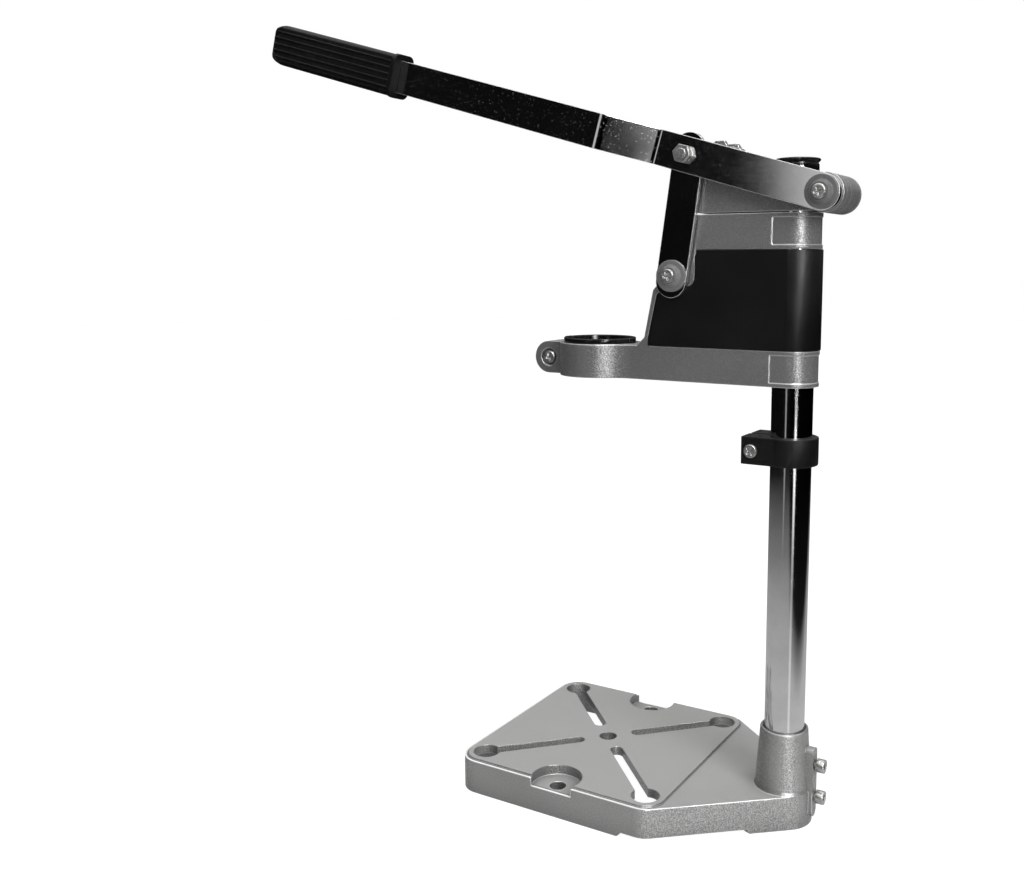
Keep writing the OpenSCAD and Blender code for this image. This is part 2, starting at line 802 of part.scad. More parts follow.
// Side view of the cover, clear of the slanted web and the link boss
module cover_side() {
    root = arm_h / 4;
    left = web_t + cover_gap;
    shoulder_z = link_pin[1] - link_boss_r;
    difference() {
        polygon([[cover_r + over, cover_low], [cover_r + over, cover_high], [-lug_reach + left, cover_high],
            [-lug_reach + left, lug_low - left], [-web_shoulder_x + left, shoulder_z - left],
            [-web_foot_x + left, arm_top + root], [-web_foot_x + left, cover_low]]);
        link_boss_outline(cover_gap);
    }
}

module carriage_cover() {
    inner = cover_r - cover_wall;
    color(plastic_black)
    intersection() {
        translate([0, 0, carriage_z]) linear_extrude(lug_top - carriage_z)
            difference() {
                lug_outline(collar_reach, cover_r);
                lug_outline(collar_reach + over, inner);
            }
        along_y(-carriage_w, carriage_w) cover_side();
    }
}

// Guide bush in a lug of the carriage
module guide_bush(z, h) {
    color(plastic_black)
    translate([0, 0, z])
    difference() {
        cylinder(d = guide_d + 2 * bush_wall - 2 * seat_gap, h = h);
        translate([0, 0, -over]) cylinder(d = guide_d, h = h + 2 * over);
    }
}

module upper_guide_bush() {
    guide_bush(lug_low, lug_h);
}

module lower_guide_bush() {
    guide_bush(carriage_z, arm_h);
}

// Corner of one ring of the spring's wire
function spring_point(i, side) =
    let (turn = 360 * i / spring_steps, share = i / (spring_turns * spring_steps), a = 360 * side / spring_sides,
        r = spring_r + spring_wire / 2 * cos(a))
    [r * cos(turn), r * sin(turn), spring_low + (spring_high - spring_low) * share + spring_wire / 2 * sin(a)];

// Least gap between one turn of the spring and the next
spring_gap = (spring_high - spring_low) / spring_turns - spring_wire;
echo(spring_gap = spring_gap, lever_angle = lever_angle, link_span = link_span, link_lean = link_lean);

module return_spring() {
    rings = spring_turns * spring_steps;
    n = spring_sides;
    points = [for (i = [0:rings]) for (s = [0:n - 1]) spring_point(i, s)];
    walls = [for (i = [0:rings - 1]) for (s = [0:n - 1])
        let (a = i * n + s, b = i * n + (s + 1) % n)
        each [[a, a + n, b], [b, a + n, b + n]]];
    ends = [for (s = [1:n - 2]) each [[0, s, s + 1], [rings * n, rings * n + s + 1, rings * n + s]]];
    color(zinc)
    polyhedron(points, concat(walls, ends));
}

module spring_seat_collar() {
    color(zinc)
    difference() {
        translate([0, 0, seat_z]) linear_extrude(seat_h) {
            circle(d = spring_d);
            translate([-seat_block_reach, -seat_block_w / 2]) square([seat_block_reach, seat_block_w]);
        }
        translate([0, 0, seat_z - over]) cylinder(d = guide_d, h = seat_h + 2 * over);
        pin_x(seat_z + seat_h / 2, screw_d + 2 * hole_gap, -seat_block_reach - over, 0);
    }
}

module seat_collar_screw() {
    z = seat_z + seat_h / 2;
    tip = column_d / 2 + seat_gap;
    color(zinc)
    difference() {
        pin_x(z, screw_d, -seat_block_reach, -tip);
        along_x(-seat_block_reach - over, -seat_block_reach + screw_d / 2) translate([0, z]) hexagon(screw_d / 2);
    }
}

module reducer_ring() {
    sleeve_d = collar_bore - 2 * running_gap;
    flange_r = reducer_flange_d / 2;
    low = arm_top + seat_gap;
    color(plastic_black)
    difference() {
        union() {
            translate([collar_x, 0, carriage_z]) cylinder(d = sleeve_d, h = arm_h + reducer_flange_t);
            translate([collar_x, 0, low]) cylinder(r = flange_r, h = reducer_flange_t);
            translate([collar_x - flange_r - reducer_tab_out, -reducer_tab_w / 2, low])
                cube([2 * (flange_r + reducer_tab_out), reducer_tab_w, reducer_flange_t]);
        }
        translate([collar_x, 0, carriage_z - over]) cylinder(d = reducer_bore, h = 2 * arm_h);
        translate([collar_x - 2 * flange_r, -collar_slit / 2, carriage_z - over])
            cube([2 * flange_r, collar_slit, 2 * arm_h]);
    }
}

module collar_clamp_screw() {
    head_h = ear_counterbore_depth;
    seat = -ear_y + ear_counterbore_depth - seat_gap;
    color(zinc)
    cross_screw([ear_x, ear_z], screw_d, screw_head_d, head_h, seat, ear_y + screw_nut_h + over);
}

module collar_clamp_nut() {
    color(zinc)
    nut_y([ear_x, ear_z], screw_nut_af, screw_d + 2 * hole_gap, ear_y + seat_gap, ear_y + seat_gap + screw_nut_h);
}

// Side view of the bracket's two cheeks
module bracket_cheeks() {
    polygon([[-bracket_reach, bracket_z], [0, bracket_z], [0, bracket_top],
        [-casting_y, bracket_top], [-bracket_reach + bracket_lug_l / 2, bracket_z + bracket_peak_h],
        [-bracket_reach, bracket_z + bracket_cheek_h]]);
}

// Side view of the clamping lugs that rise behind the lever
module bracket_lugs() {
    top = bracket_z + bracket_lug_h;
    polygon([[-bracket_reach, bracket_z], [-casting_y, bracket_z], [-casting_y, bracket_top],
        [-bracket_reach + bracket_lug_l, top], [-bracket_reach, top]]);
}

module head_bracket() {
    slot_d = bolt_d + 2 * hole_gap;
    color(cast_dark)
    difference() {
        union() {
            translate([0, 0, bracket_z]) linear_extrude(bracket_h) circle(casting_y);
            along_y(-casting_y, casting_y) bracket_cheeks();
            along_y(-bracket_lug_w / 2, bracket_lug_w / 2) bracket_lugs();
            translate([0, -casting_y + panel_margin, bracket_z])
                cube([pivot_x, carriage_w - 2 * panel_margin, bracket_h - panel_margin]);
            pin_y(pivot, pivot_boss_d, pivot_face_y, pivot_boss_far);
        }
        translate([0, 0, bracket_z - over]) cylinder(d = guide_d, h = bracket_lug_h + 2 * over);
        translate([-bracket_reach - over, -bracket_split / 2, bracket_z - over])
            cube([bracket_reach, bracket_split, bracket_lug_h + 2 * over]);
        pin_y(bracket_bolt, slot_d, -carriage_w, carriage_w);
        translate([bracket_bolt[0] - slot_d / 2, -carriage_w, bracket_bolt[1]])
            cube([slot_d, 2 * carriage_w, bracket_lug_h]);
        pin_y(pivot, bolt_d + 2 * hole_gap, -carriage_w, carriage_w);
    }
}

module bracket_clamp_bolt() {
    seat = -bracket_lug_w / 2 - seat_gap;
    color(zinc) {
        hex_y(bracket_bolt, bolt_af, seat - bolt_head_h, seat, flat_up);
        pin_y(bracket_bolt, bolt_d, seat - bolt_head_h / 2, bracket_lug_w / 2 + bolt_nut_h + over);
    }
}

module bracket_clamp_nut() {
    seat = bracket_lug_w / 2 + seat_gap;
    color(zinc)
    nut_y(bracket_bolt, bolt_af, bolt_d + 2 * hole_gap, seat, seat + bolt_nut_h, flat_up);
}

// Turns the lever's own frame, whose X runs from the pivot toward the grip, to where the lever stands
module at_lever() {
    translate([pivot[0], 0, pivot[1]]) rotate([0, lever_angle, 0]) mirror([1, 0, 0]) children();
}

// Points along one face of the jogged bar, at a distance from its back face
function jog_points(out) =
    let (slope = atan2(jog_out, jog_l), in_r = bend_r, k = in_r + lever_t,
        first = [jog_start, -lever_y], last = [jog_start + jog_l, -lever_y - jog_out],
        r1 = k - out, r2 = in_r + out)
    concat([[-lever_w, -lever_y - out]],
        arc_points(first + [-k * tan(slope / 2), -k], r1, 90, 90 - slope),
        arc_points(last + [in_r * tan(slope / 2), in_r], r2, 270 - slope, 270));

module lever_bar() {
    back = jog_points(0);
    front = jog_points(lever_t);
    tip = grip_start + grip_hold;
    plan = concat(back, [[tip, -lever_y - jog_out], [tip, -lever_y - jog_out - lever_t]],
        [for (i = [len(front) - 1:-1:0]) front[i]]);
    color(chrome)
    difference() {
        at_lever()
            intersection() {
                translate([0, 0, -lever_w]) linear_extrude(2 * lever_w) polygon(plan);
                along_y(-lever_y - jog_out - 2 * lever_t, 0) {
                    circle(d = lever_w);
                    translate([0, -lever_w / 2]) square([tip, lever_w]);
                }
            }
        pin_y(pivot, bush_sleeve_d + 2 * running_gap, lever_front_y - over, 0);
        pin_y(link_top, bolt_d + 2 * running_gap, lever_front_y - over, 0);
    }
}

// Round-cornered outline of the grip's section
module grip_section(grow) {
    r = grip_edge_r + grow;
    reach = [grip_t / 2 - grip_edge_r, grip_w / 2 - grip_edge_r];
    square([2 * (reach[0] + r), 2 * reach[1]], center = true);
    square([2 * reach[0], 2 * (reach[1] + r)], center = true);
    for (x = [-reach[0], reach[0]])
        for (y = [-reach[1], reach[1]])
            translate([x, y]) circle(r);
}

// Outline of the grip, square at the mouth and rounded at the outer end, drawn in from its edge
module grip_side(half_w, end_r, inset = 0) {
    r = end_r - inset;
    translate([grip_start + inset, inset - half_w]) square([grip_l - end_r - inset, 2 * (half_w - inset)]);
    translate([grip_start + inset, end_r - half_w]) square([grip_l - 2 * inset, 2 * (half_w - end_r)]);
    for (side = [-1, 1])
        translate([grip_tip - end_r, side * (half_w - end_r)]) circle(r);
}

// Grooves along one face of the grip, ending short of its outline
module grip_face_grooves() {
    pitch = (grip_w - 2 * rib_w) / grip_grooves;
    intersection() {
        for (i = [0:grip_grooves - 1])
            translate([grip_start, pitch * (i - grip_grooves / 2) + rib_w / 2]) square([grip_l, pitch - rib_w]);
        grip_side(grip_w / 2, grip_end_r, 2 * rib_w);
        translate([grip_start + grip_lip_l + rib_w, -grip_w]) square([grip_l, 2 * grip_w]);
    }
}

module lever_grip() {
    mid_y = -lever_y - jog_out - lever_t / 2;
    color(plastic_black)
    at_lever() translate([0, mid_y, 0])
    difference() {
        union() {
            intersection() {
                along_x(grip_start, grip_tip) grip_section(0);
                along_y(-grip_w, grip_w) grip_side(grip_w / 2, grip_end_r);
                translate([0, 0, -grip_w]) linear_extrude(2 * grip_w) grip_side(grip_t / 2, grip_edge_r);
            }
            along_x(grip_start, grip_start + grip_lip_l) grip_section(grip_lip_out);
        }
        for (face = [-grip_t / 2, grip_t / 2])
            along_y(face - groove_depth, face + groove_depth) grip_face_grooves();
        along_x(grip_start - over, grip_start + grip_hold + hole_gap)
            square([lever_t + 2 * hole_gap, lever_w + 2 * hole_gap], center = true);
    }
}

// Flanged bush with a cone, its flange toward -Y
module pivot_bush(at, inner_y, flange_y, bore_d) {
    cone_y = flange_y - bush_flange_t;
    difference() {
        union() {
            pin_y(at, bush_sleeve_d, flange_y - bush_flange_t / 2, inner_y);
            pin_y(at, bush_flange_d, cone_y, flange_y);
            translate([at[0], cone_y, at[1]]) rotate([90, 0, 0])
                cylinder(d1 = bush_cone_foot_d, d2 = bush_cone_top_d, h = bush_cone_h);
        }
        pin_y(at, bore_d, cone_y - bush_cone_h - over, inner_y + over);
    }
}

module lever_pivot_washer() {
    color(zinc)
    washer_y(pivot, pivot_shim_d, bush_sleeve_d + 2 * hole_gap, pivot_face_y - seat_gap - pivot_shim,
        pivot_face_y - seat_gap);
}

module lever_pivot_bush() {
    color(bush_grey)
    pivot_bush(pivot, pivot_face_y - seat_gap, lever_front_y - seat_gap, bolt_d + 2 * hole_gap);
}

module lever_pivot_screw() {
    seat = lever_front_y - 2 * seat_gap - bush_flange_t - bush_cone_h;
    color(zinc)
    cross_screw(pivot, bolt_d, screw_head_d, screw_head_h, seat, pivot_boss_far + bolt_nut_h + over);
}

module lever_pivot_nut() {
    seat = pivot_boss_far + seat_gap;
    color(zinc)
    nut_y(pivot, bolt_af, bolt_d + 2 * hole_gap, seat, seat + bolt_nut_h);
}

// Turns the link's own frame, whose Y runs from the pin up to the bolt, to where the link stands
module at_link() {
    translate(link_pin) rotate([0, 0, -link_lean]) children();
}

module link_bar() {
    r = link_w / 2;
    shift = link_end - r;
    color(chrome)
    difference() {
        along_y(link_front_y, link_back_y) at_link() belt([0, -shift], r, [0, link_span + shift], r);
        pin_y(link_pin, link_hole_d, -carriage_w, 0);
        pin_y(link_top, bolt_d + 2 * running_gap, -carriage_w, 0);
    }
}

module link_bolt() {
    seat = link_back_y + seat_gap;
    turn = lever_angle;
    color(zinc) {
        hex_y(link_top, bolt_af, seat, seat + bolt_head_h, turn);
        pin_y(link_top, bolt_d, lever_front_y - bolt_nut_h - over, seat + bolt_head_h / 2);
    }
}

module link_bolt_nut() {
    seat = lever_front_y - seat_gap;
    color(zinc)
    nut_y(link_top, bolt_af, bolt_d + 2 * hole_gap, seat - bolt_nut_h, seat, 90 - lever_angle);
}

module link_washer() {
    color(zinc)
    washer_y(link_top, bolt_af, bolt_d + 2 * hole_gap, -lever_y + seat_gap, -lever_y + seat_gap + link_shim);
}

module link_pin_washer() {
    color(zinc)
    washer_y(link_pin, bush_flange_d - 2 * bush_flange_t, bush_sleeve_d + 2 * hole_gap,
        -casting_y - seat_gap - link_pin_shim, -casting_y - seat_gap);
}

module link_pin_bush() {
    color(bush_grey)
    pivot_bush(link_pin, -casting_y - seat_gap, link_front_y - 2 * seat_gap, screw_d + 2 * hole_gap);
}

module link_pin_screw() {
    seat = link_front_y - 3 * seat_gap - bush_flange_t - bush_cone_h;
    color(zinc)
    cross_screw(link_pin, screw_d, screw_head_d, screw_head_h, seat, -over);
}

base_casting();
socket_screws();
column_tube();
column_cap();
stop_ring();
stop_ring_screw();
stop_ring_nut();
carriage_casting();
carriage_cover();
upper_guide_bush();
lower_guide_bush();
return_spring();
spring_seat_collar();
seat_collar_screw();
reducer_ring();
collar_clamp_screw();
collar_clamp_nut();
head_bracket();
bracket_clamp_bolt();
bracket_clamp_nut();
lever_bar();
lever_grip();
lever_pivot_washer();
lever_pivot_bush();
lever_pivot_screw();
lever_pivot_nut();
link_bar();
link_bolt();
link_bolt_nut();
link_washer();
link_pin_washer();
link_pin_bush();
link_pin_screw();
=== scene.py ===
"""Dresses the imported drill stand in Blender 4.5: worked pieces, finishes, studio and camera."""
import json
import math

import bmesh
import bpy
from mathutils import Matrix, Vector


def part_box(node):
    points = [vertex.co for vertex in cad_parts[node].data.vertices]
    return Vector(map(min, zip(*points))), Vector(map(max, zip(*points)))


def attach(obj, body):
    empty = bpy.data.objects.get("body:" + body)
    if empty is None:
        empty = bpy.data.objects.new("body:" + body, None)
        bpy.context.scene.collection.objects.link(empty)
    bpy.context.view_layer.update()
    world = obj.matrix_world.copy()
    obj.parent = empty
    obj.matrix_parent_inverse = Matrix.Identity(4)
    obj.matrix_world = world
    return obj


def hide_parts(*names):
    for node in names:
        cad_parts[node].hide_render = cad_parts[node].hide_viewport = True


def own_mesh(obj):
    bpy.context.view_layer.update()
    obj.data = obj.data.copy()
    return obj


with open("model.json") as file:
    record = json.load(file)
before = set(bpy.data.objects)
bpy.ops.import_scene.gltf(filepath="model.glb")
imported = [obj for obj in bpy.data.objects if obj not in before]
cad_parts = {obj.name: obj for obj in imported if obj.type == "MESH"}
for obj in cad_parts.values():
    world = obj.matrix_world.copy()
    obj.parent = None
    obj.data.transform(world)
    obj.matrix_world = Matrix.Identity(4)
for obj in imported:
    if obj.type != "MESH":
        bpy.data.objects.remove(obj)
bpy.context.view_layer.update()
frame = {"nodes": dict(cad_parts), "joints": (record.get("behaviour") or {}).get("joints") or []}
JOINT_AT = {joint["name"]: Vector(joint["pos_m"]) for joint in frame["joints"]}
IMAGE_SIDES = (1024, 887)

bl_info = {
    "name": "Drill Stand Dresser",
    "version": (1, 0, 0),
    "blender": (4, 5, 0),
    "location": "View3D > Sidebar > Drill Stand",
    "description": "Builds the worked pieces, finishes, studio and camera of a bench drill stand",
    "category": "Object",
}

# Shares and spans that more than one finish uses
WHITE = (1.0, 1.0, 1.0, 1.0)
# Bearing of the faces that get the painted glints, painted highlights and painted light on walls
HIGHLIGHT_TURN = math.radians(-57.0)
MIDDLE_NOISE = (0.35, 0.65)
EDGE_SPAN = (0.995, 0.80)
UP_SPAN = (0.85, 0.95)
HOLLOW_SPAN = (0.35, 0.95)
HAIR = 0.0002

# Hammered paint: fineness and depth of its flakes, and what each layer does to the colour; the flakes'
# contrast is a painted glint
FLAKE_FINENESS, FLAKE_RELIEF, FLAKE_ROUGHNESS = 1.6, 0.35, 0.08
FLAKE_SPAN, DARK_FLAKE_SPAN, BRIGHT_FLAKE_SPAN = (0.40, 0.60), (0.52, 0.40), (0.50, 0.60)
LIT_FLAKE_DARK, LIT_FLAKE_GLINT = 0.55, 1.7
BLOTCH_DIMPLES, DUST_DIMPLES = 60, 9
BLOTCH_TINT, DUST_TINT, DUST_LEVELS = 0.90, 0.72, (0.62, 0.78, 0.0, 0.35)

# Hammered paint: what a face shows by how far it looks toward the highlight bearing: painted glint, relief,
# and painted light and shade on walls
GLINT_AHEAD = (0.90, 0.99, 0.12, 1.0)
RELIEF_AHEAD = (0.84, 0.95, 0.6, 1.0)
LIT_AHEAD, SHADE_AHEAD = (0.84, 1.0), (0.45, 0.84, 0.78, 1.0)
MACHINED_RELIEF_LOSS, MACHINED_COVER, MACHINED_TINT = 0.72, 0.75, 0.97
RING_HALF_WIDTHS = (0.00022, 0.00045)
RING_TINT, RING_DEPTH = 2.6, 0.8
# Painted highlight on the base's outer rim and painted shade along the step inside it
RIM_HIGHLIGHT, RIM_STEP_SHADE, RIM_SPLIT = 1.75, 0.40, 0.55
COAT_ROUGHNESS = 0.30

# Plated steel and plastic: fineness of each noise in cells per metre, and depth of each bump in metres
DRAWN_CELLS, MARK_CELLS, PIT_CELLS, SPECK_CELLS = 900.0, 38.0, 2600.0, 900.0
CHROME_BUMP, LINE_ROUGHNESS, PIT_RELIEF = 0.000002, 0.5, 0.3
MARK_SPAN, MARK_TINTS, SMUDGE_SPAN = (0.4, 0.62), (0.93, 1.03), (0.5, 1.0)
GLINTS_AHEAD, SPECK_SPAN = (0.86, 0.95, 0.12), (0.68, 0.73)
EDGE_GLINT_SHARE, EDGE_GLINT_METAL, EDGE_GLINT_ROUGHNESS, SPECK_METAL = 0.9, 0.35, 0.3, 0.3
CLOUD_CELLS, CLOUD_TINTS, CLOUD_SPAN = 26.0, (0.82, 1.25), (0.7, 1.3)
PLASTIC_EDGE, EDGE_HIGHLIGHT_TINT, FLECK_TINT, FLECK_LEVELS = 0.0006, 2.6, 1.9, (0.55, 0.75, 0.0, 0.30)
FROST_CELLS, FROST_SPAN, BLOOM_CELLS, BLOOM_TINTS = 1500.0, (0.3, 0.7), 160.0, (0.80, 1.05)
ZINC_EDGE, ZINC_BUMP, ZINC_FACE, ZINC_RIM_HIGHLIGHT, ZINC_METALS = 0.0006, 0.00001, 0.62, 1.5, (0.85, 0.1)

# Meshes: reach of the weld, angles of flat faces and sharp edges, and rounding of small parts
WELD_REACH = 0.000002
FLAT_ANGLE = math.radians(0.4)
SHARP_ANGLE = math.radians(35.0)
SOFT_EDGE, SCREW_EDGE = 0.0003, 0.0002

# Roughness of the link against the lever's, and colour of the spring's wire against zinc
LINK_GLOSS, WIRE_TINT = 0.6, 0.6

# Castings: strength of the painted highlight along their edges, and the turned rings on the pivot boss
CARRIAGE_EDGE_HIGHLIGHT, BRACKET_EDGE_HIGHLIGHT = 1.5, 1.3
BOSS_RINGS_INNER = 0.0108
BOSS_RINGS_AT = (-0.0135, -0.0048, 0.0125)

# Studio: heights of the soft boxes as the Z part of a direction, and half widths as angles
STRIP_LOW_SPAN, STRIP_HIGH_SPAN, STRIP_DIM = (0.055, 0.08), (0.19, 0.24), 0.18
STRIP_SOFT, PATCH_HALF = 0.05, 0.084
TOP_SPAN, BACK_SPAN, BACK_DEPTH_SPAN = (0.50, 0.75), (0.14, 0.30), (0.1, 0.7)

# Floor in reflections: distance from the middle in metres, then brightness, for its pool, strip and patch
POOL_SPAN, POOL_FAR_SHARE = (0.08, 0.6), 0.45
POOL_END, POOL_SIDE = (0.5, 1.1, 1.0, 0.01), (0.2, 0.36, 1.0, 0.02)
FLOOR_STRIP, FLOOR_STRIP_END = (0.5, 1.2, 0.28, 1.6), (1.5, 1.9, 1.0, 0.2)
FLOOR_PATCH, FLOOR_PATCH_HALF, FLOOR_PATCH_SOFT = (0.6, 1.2, 0.0, 0.36), 0.05, 0.03
FLOOR_GREY, FLOOR_ROUGHNESS = 0.86, 0.9
SENSOR_WIDTH, CLIP_START = 36.0, 0.01


# Small tools for materials

def add_node(tree, kind, settings=None, **sockets):
    """Add a node, set its options, and fill or link its sockets by name."""
    made = tree.nodes.new(kind)
    for name, value in (settings or {}).items():
        setattr(made, name, value)
    for name, value in sockets.items():
        put(tree, made.inputs[name.replace("_", " ")], value)
    return made


def put(tree, socket, value):
    """Link a socket to another one, or write a constant into it."""
    if isinstance(value, bpy.types.NodeSocket):
        tree.links.new(value, socket)
    else:
        socket.default_value = value


def tint(colour, share=1.0):
    """Colour scaled by a share, with alpha."""
    return tuple(min(1.0, part * share) for part in colour[:3]) + (1.0,)


def tints(colour, shares):
    """Colour scaled by each of some shares."""
    return [tint(colour, share) for share in shares]


def grey(level):
    """Grey of a level, with alpha."""
    return tint((level,) * 3)


def mix_colour(tree, share, low, high, blend="MIX"):
    """Blend two colours by a share."""
    made = tree.nodes.new("ShaderNodeMix")
    made.data_type = "RGBA"
    made.blend_type = blend
    put(tree, made.inputs[0], share)
    put(tree, made.inputs[6], low)
    put(tree, made.inputs[7], high)
    return made.outputs[2]


def times_colour(tree, colour, other):
    """Colour multiplied by another one, or by a plain value."""
    return mix_colour(tree, 1.0, colour, other, "MULTIPLY")


def mix_value(tree, share, low, high):
    """Blend two plain values by a share."""
    made = tree.nodes.new("ShaderNodeMix")
    put(tree, made.inputs[0], share)
    put(tree, made.inputs[2], low)
    put(tree, made.inputs[3], high)
    return made.outputs[0]


def maths(tree, operation, first, second=0.0):
    """One arithmetic step on plain values."""
    made = tree.nodes.new("ShaderNodeMath")
    made.operation = operation
    put(tree, made.inputs[0], first)
    put(tree, made.inputs[1], second)
    return made.outputs[0]


def times(tree, first, *others):
    """Product of plain values."""
    for other in others:
        first = maths(tree, "MULTIPLY", first, other)
    return first


def rest_of(tree, share):
    """One less a share."""
    return maths(tree, "SUBTRACT", 1.0, share)


def vectors(tree, operation, first, second=None):
    """One step on vectors, where a length or a dot product comes out as a plain value."""
    made = add_node(tree, "ShaderNodeVectorMath", {"operation": operation})
    put(tree, made.inputs[0], first)
    if second is not None:
        put(tree, made.inputs[1], second)
    return made.outputs["Value" if operation in ("DOT_PRODUCT", "LENGTH") else "Vector"]


def axes(tree, vector):
    """The X, Y and Z parts of a vector."""
    made = tree.nodes.new("ShaderNodeSeparateXYZ")
    put(tree, made.inputs[0], vector)
    return made.outputs


def face_normal(tree):
    """Normal of the face in the world."""
    return tree.nodes.new("ShaderNodeNewGeometry").outputs["Normal"]


def toward(tree, turn):
    """How far a face looks toward a bearing, from minus one to one."""
    return vectors(tree, "DOT_PRODUCT", face_normal(tree), (math.cos(turn), math.sin(turn), 0.0))


def spread(tree, value, from_low, from_high, to_low=0.0, to_high=1.0):
    """Map a value from one span onto another, clamped."""
    made = add_node(tree, "ShaderNodeMapRange", Value=value, From_Min=from_low, From_Max=from_high,
                    To_Min=to_low, To_Max=to_high)
    return made.outputs[0]


def grain(tree, where, scale, detail=2.0, roughness=0.5, stretch=None):
    """Noise of a given fineness, in cells per metre."""
    if stretch:
        where = add_node(tree, "ShaderNodeMapping", Vector=where, Scale=stretch).outputs[0]
    made = add_node(tree, "ShaderNodeTexNoise", Vector=where, Scale=scale, Detail=detail, Roughness=roughness)
    return made.outputs[0]


def bumped(tree, height, distance, normal=None):
    """Bump of a height, in metres."""
    made = add_node(tree, "ShaderNodeBump", Height=height, Distance=distance, Strength=1.0)
    if normal is not None:
        put(tree, made.inputs["Normal"], normal)
    return made.outputs[0]


def mix_shader(tree, share, first, second):
    """Blend two shader nodes by a share."""
    made = tree.nodes.new("ShaderNodeMixShader")
    put(tree, made.inputs[0], share)
    tree.links.new(first.outputs[0], made.inputs[1])
    tree.links.new(second.outputs[0], made.inputs[2])
    return made


def white_light(tree, kind, strength):
    """White background or emission of a strength."""
    return add_node(tree, kind, Color=WHITE, Strength=strength)


def seen_or_through(tree):
    """Light path node, and a mask of the rays that the camera sends straight or through glass."""
    rays = tree.nodes.new("ShaderNodeLightPath")
    return rays, maths(tree, "MAXIMUM", rays.outputs["Is Camera Ray"], rays.outputs["Is Transmission Ray"])


def soft_strip(tree, parts, turn, half, soft):
    """One within an angle round a bearing, fading out at both sides."""
    bearing = maths(tree, "ARCTAN2", parts[1], parts[0])
    off = maths(tree, "ABSOLUTE", maths(tree, "SUBTRACT", bearing, turn))
    return spread(tree, off, half, half + soft, 1.0, 0.0)


def rounded_edges(tree, radius, samples=6):
    """Normal rounded over the edges, and a mask that is one near the edges and zero on the faces."""
    rounded = add_node(tree, "ShaderNodeBevel", {"samples": samples}, Radius=radius).outputs[0]
    flatness = vectors(tree, "DOT_PRODUCT", rounded, face_normal(tree))
    return rounded, spread(tree, flatness, *EDGE_SPAN)


def new_finish(name):
    """Empty material, its tree, its shader and object coordinates."""
    material = bpy.data.materials.new(name)
    material.use_nodes = True
    tree = material.node_tree
    shader = tree.nodes["Principled BSDF"]
    where = tree.nodes.new("ShaderNodeTexCoord").outputs["Object"]
    return material, tree, shader, where


def fill(tree, shader, colour, roughness, normal):
    """Set the colour, roughness and normal of a shader."""
    put(tree, shader.inputs["Base Color"], colour)
    put(tree, shader.inputs["Roughness"], roughness)
    put(tree, shader.inputs["Normal"], normal)


def turned_rings(tree, where, pivot, inner, heights):
    """One on thin rings turned round an axis along Y at given places along it, outside a radius."""
    x, y, z = axes(tree, where)
    across = maths(tree, "POWER", maths(tree, "SUBTRACT", x, pivot.x), 2.0)
    upward = maths(tree, "POWER", maths(tree, "SUBTRACT", z, pivot.z), 2.0)
    reach = maths(tree, "SQRT", maths(tree, "ADD", across, upward))
    found = 0.0
    for height in heights:
        off = maths(tree, "ABSOLUTE", maths(tree, "SUBTRACT", y, height))
        found = maths(tree, "MAXIMUM", found, spread(tree, off, *RING_HALF_WIDTHS, 1.0, 0.0))
    ahead = maths(tree, "GREATER_THAN", x, pivot.x - inner / 2)
    return times(tree, found, ahead, maths(tree, "GREATER_THAN", reach, inner))


def painted_hollow_shade(tree, reach, floor=0.5):
    """Painted shade from ambient occlusion: one in the open, falling to a floor value deep in holes and
    pockets.
    """
    made = add_node(tree, "ShaderNodeAmbientOcclusion", {"samples": 8}, Distance=reach)
    return spread(tree, made.outputs["AO"], *HOLLOW_SPAN, floor, 1.0)


def square_reach(tree, where, middle, straight):
    """Distance of a point on the top from a square with straight sides that run so far from its middle."""
    off = vectors(tree, "ABSOLUTE", vectors(tree, "SUBTRACT", where, (middle, 0.0, 0.0)))
    past = vectors(tree, "SUBTRACT", off, (straight, straight, 1.0))
    return vectors(tree, "LENGTH", vectors(tree, "MAXIMUM", past))


def painted_rim_light(tree, shade, colour, looks, where, middle, ledge):
    """Shade with a painted highlight along the base's outer rim and a painted shade line inside it, along the
    step.
    """
    straight = looks.square_side / 2 - looks.square_corner
    reach = square_reach(tree, where, middle, straight)
    rim_highlight_from = looks.square_corner - looks.rim_inset * RIM_SPLIT
    before_web = maths(tree, "LESS_THAN", axes(tree, where)[0], middle + straight + looks.square_corner / 2)
    rim_highlight = times(tree, maths(tree, "GREATER_THAN", reach, rim_highlight_from), before_web)
    step_shade_from = looks.square_corner - looks.rim_inset - HAIR
    line = times(tree, maths(tree, "GREATER_THAN", reach, step_shade_from),
                 maths(tree, "LESS_THAN", reach, rim_highlight_from))
    shade = mix_colour(tree, times(tree, ledge, rim_highlight), shade, tint(colour, RIM_HIGHLIGHT))
    return mix_colour(tree, times(tree, ledge, line), shade, tint(colour, RIM_STEP_SHADE))


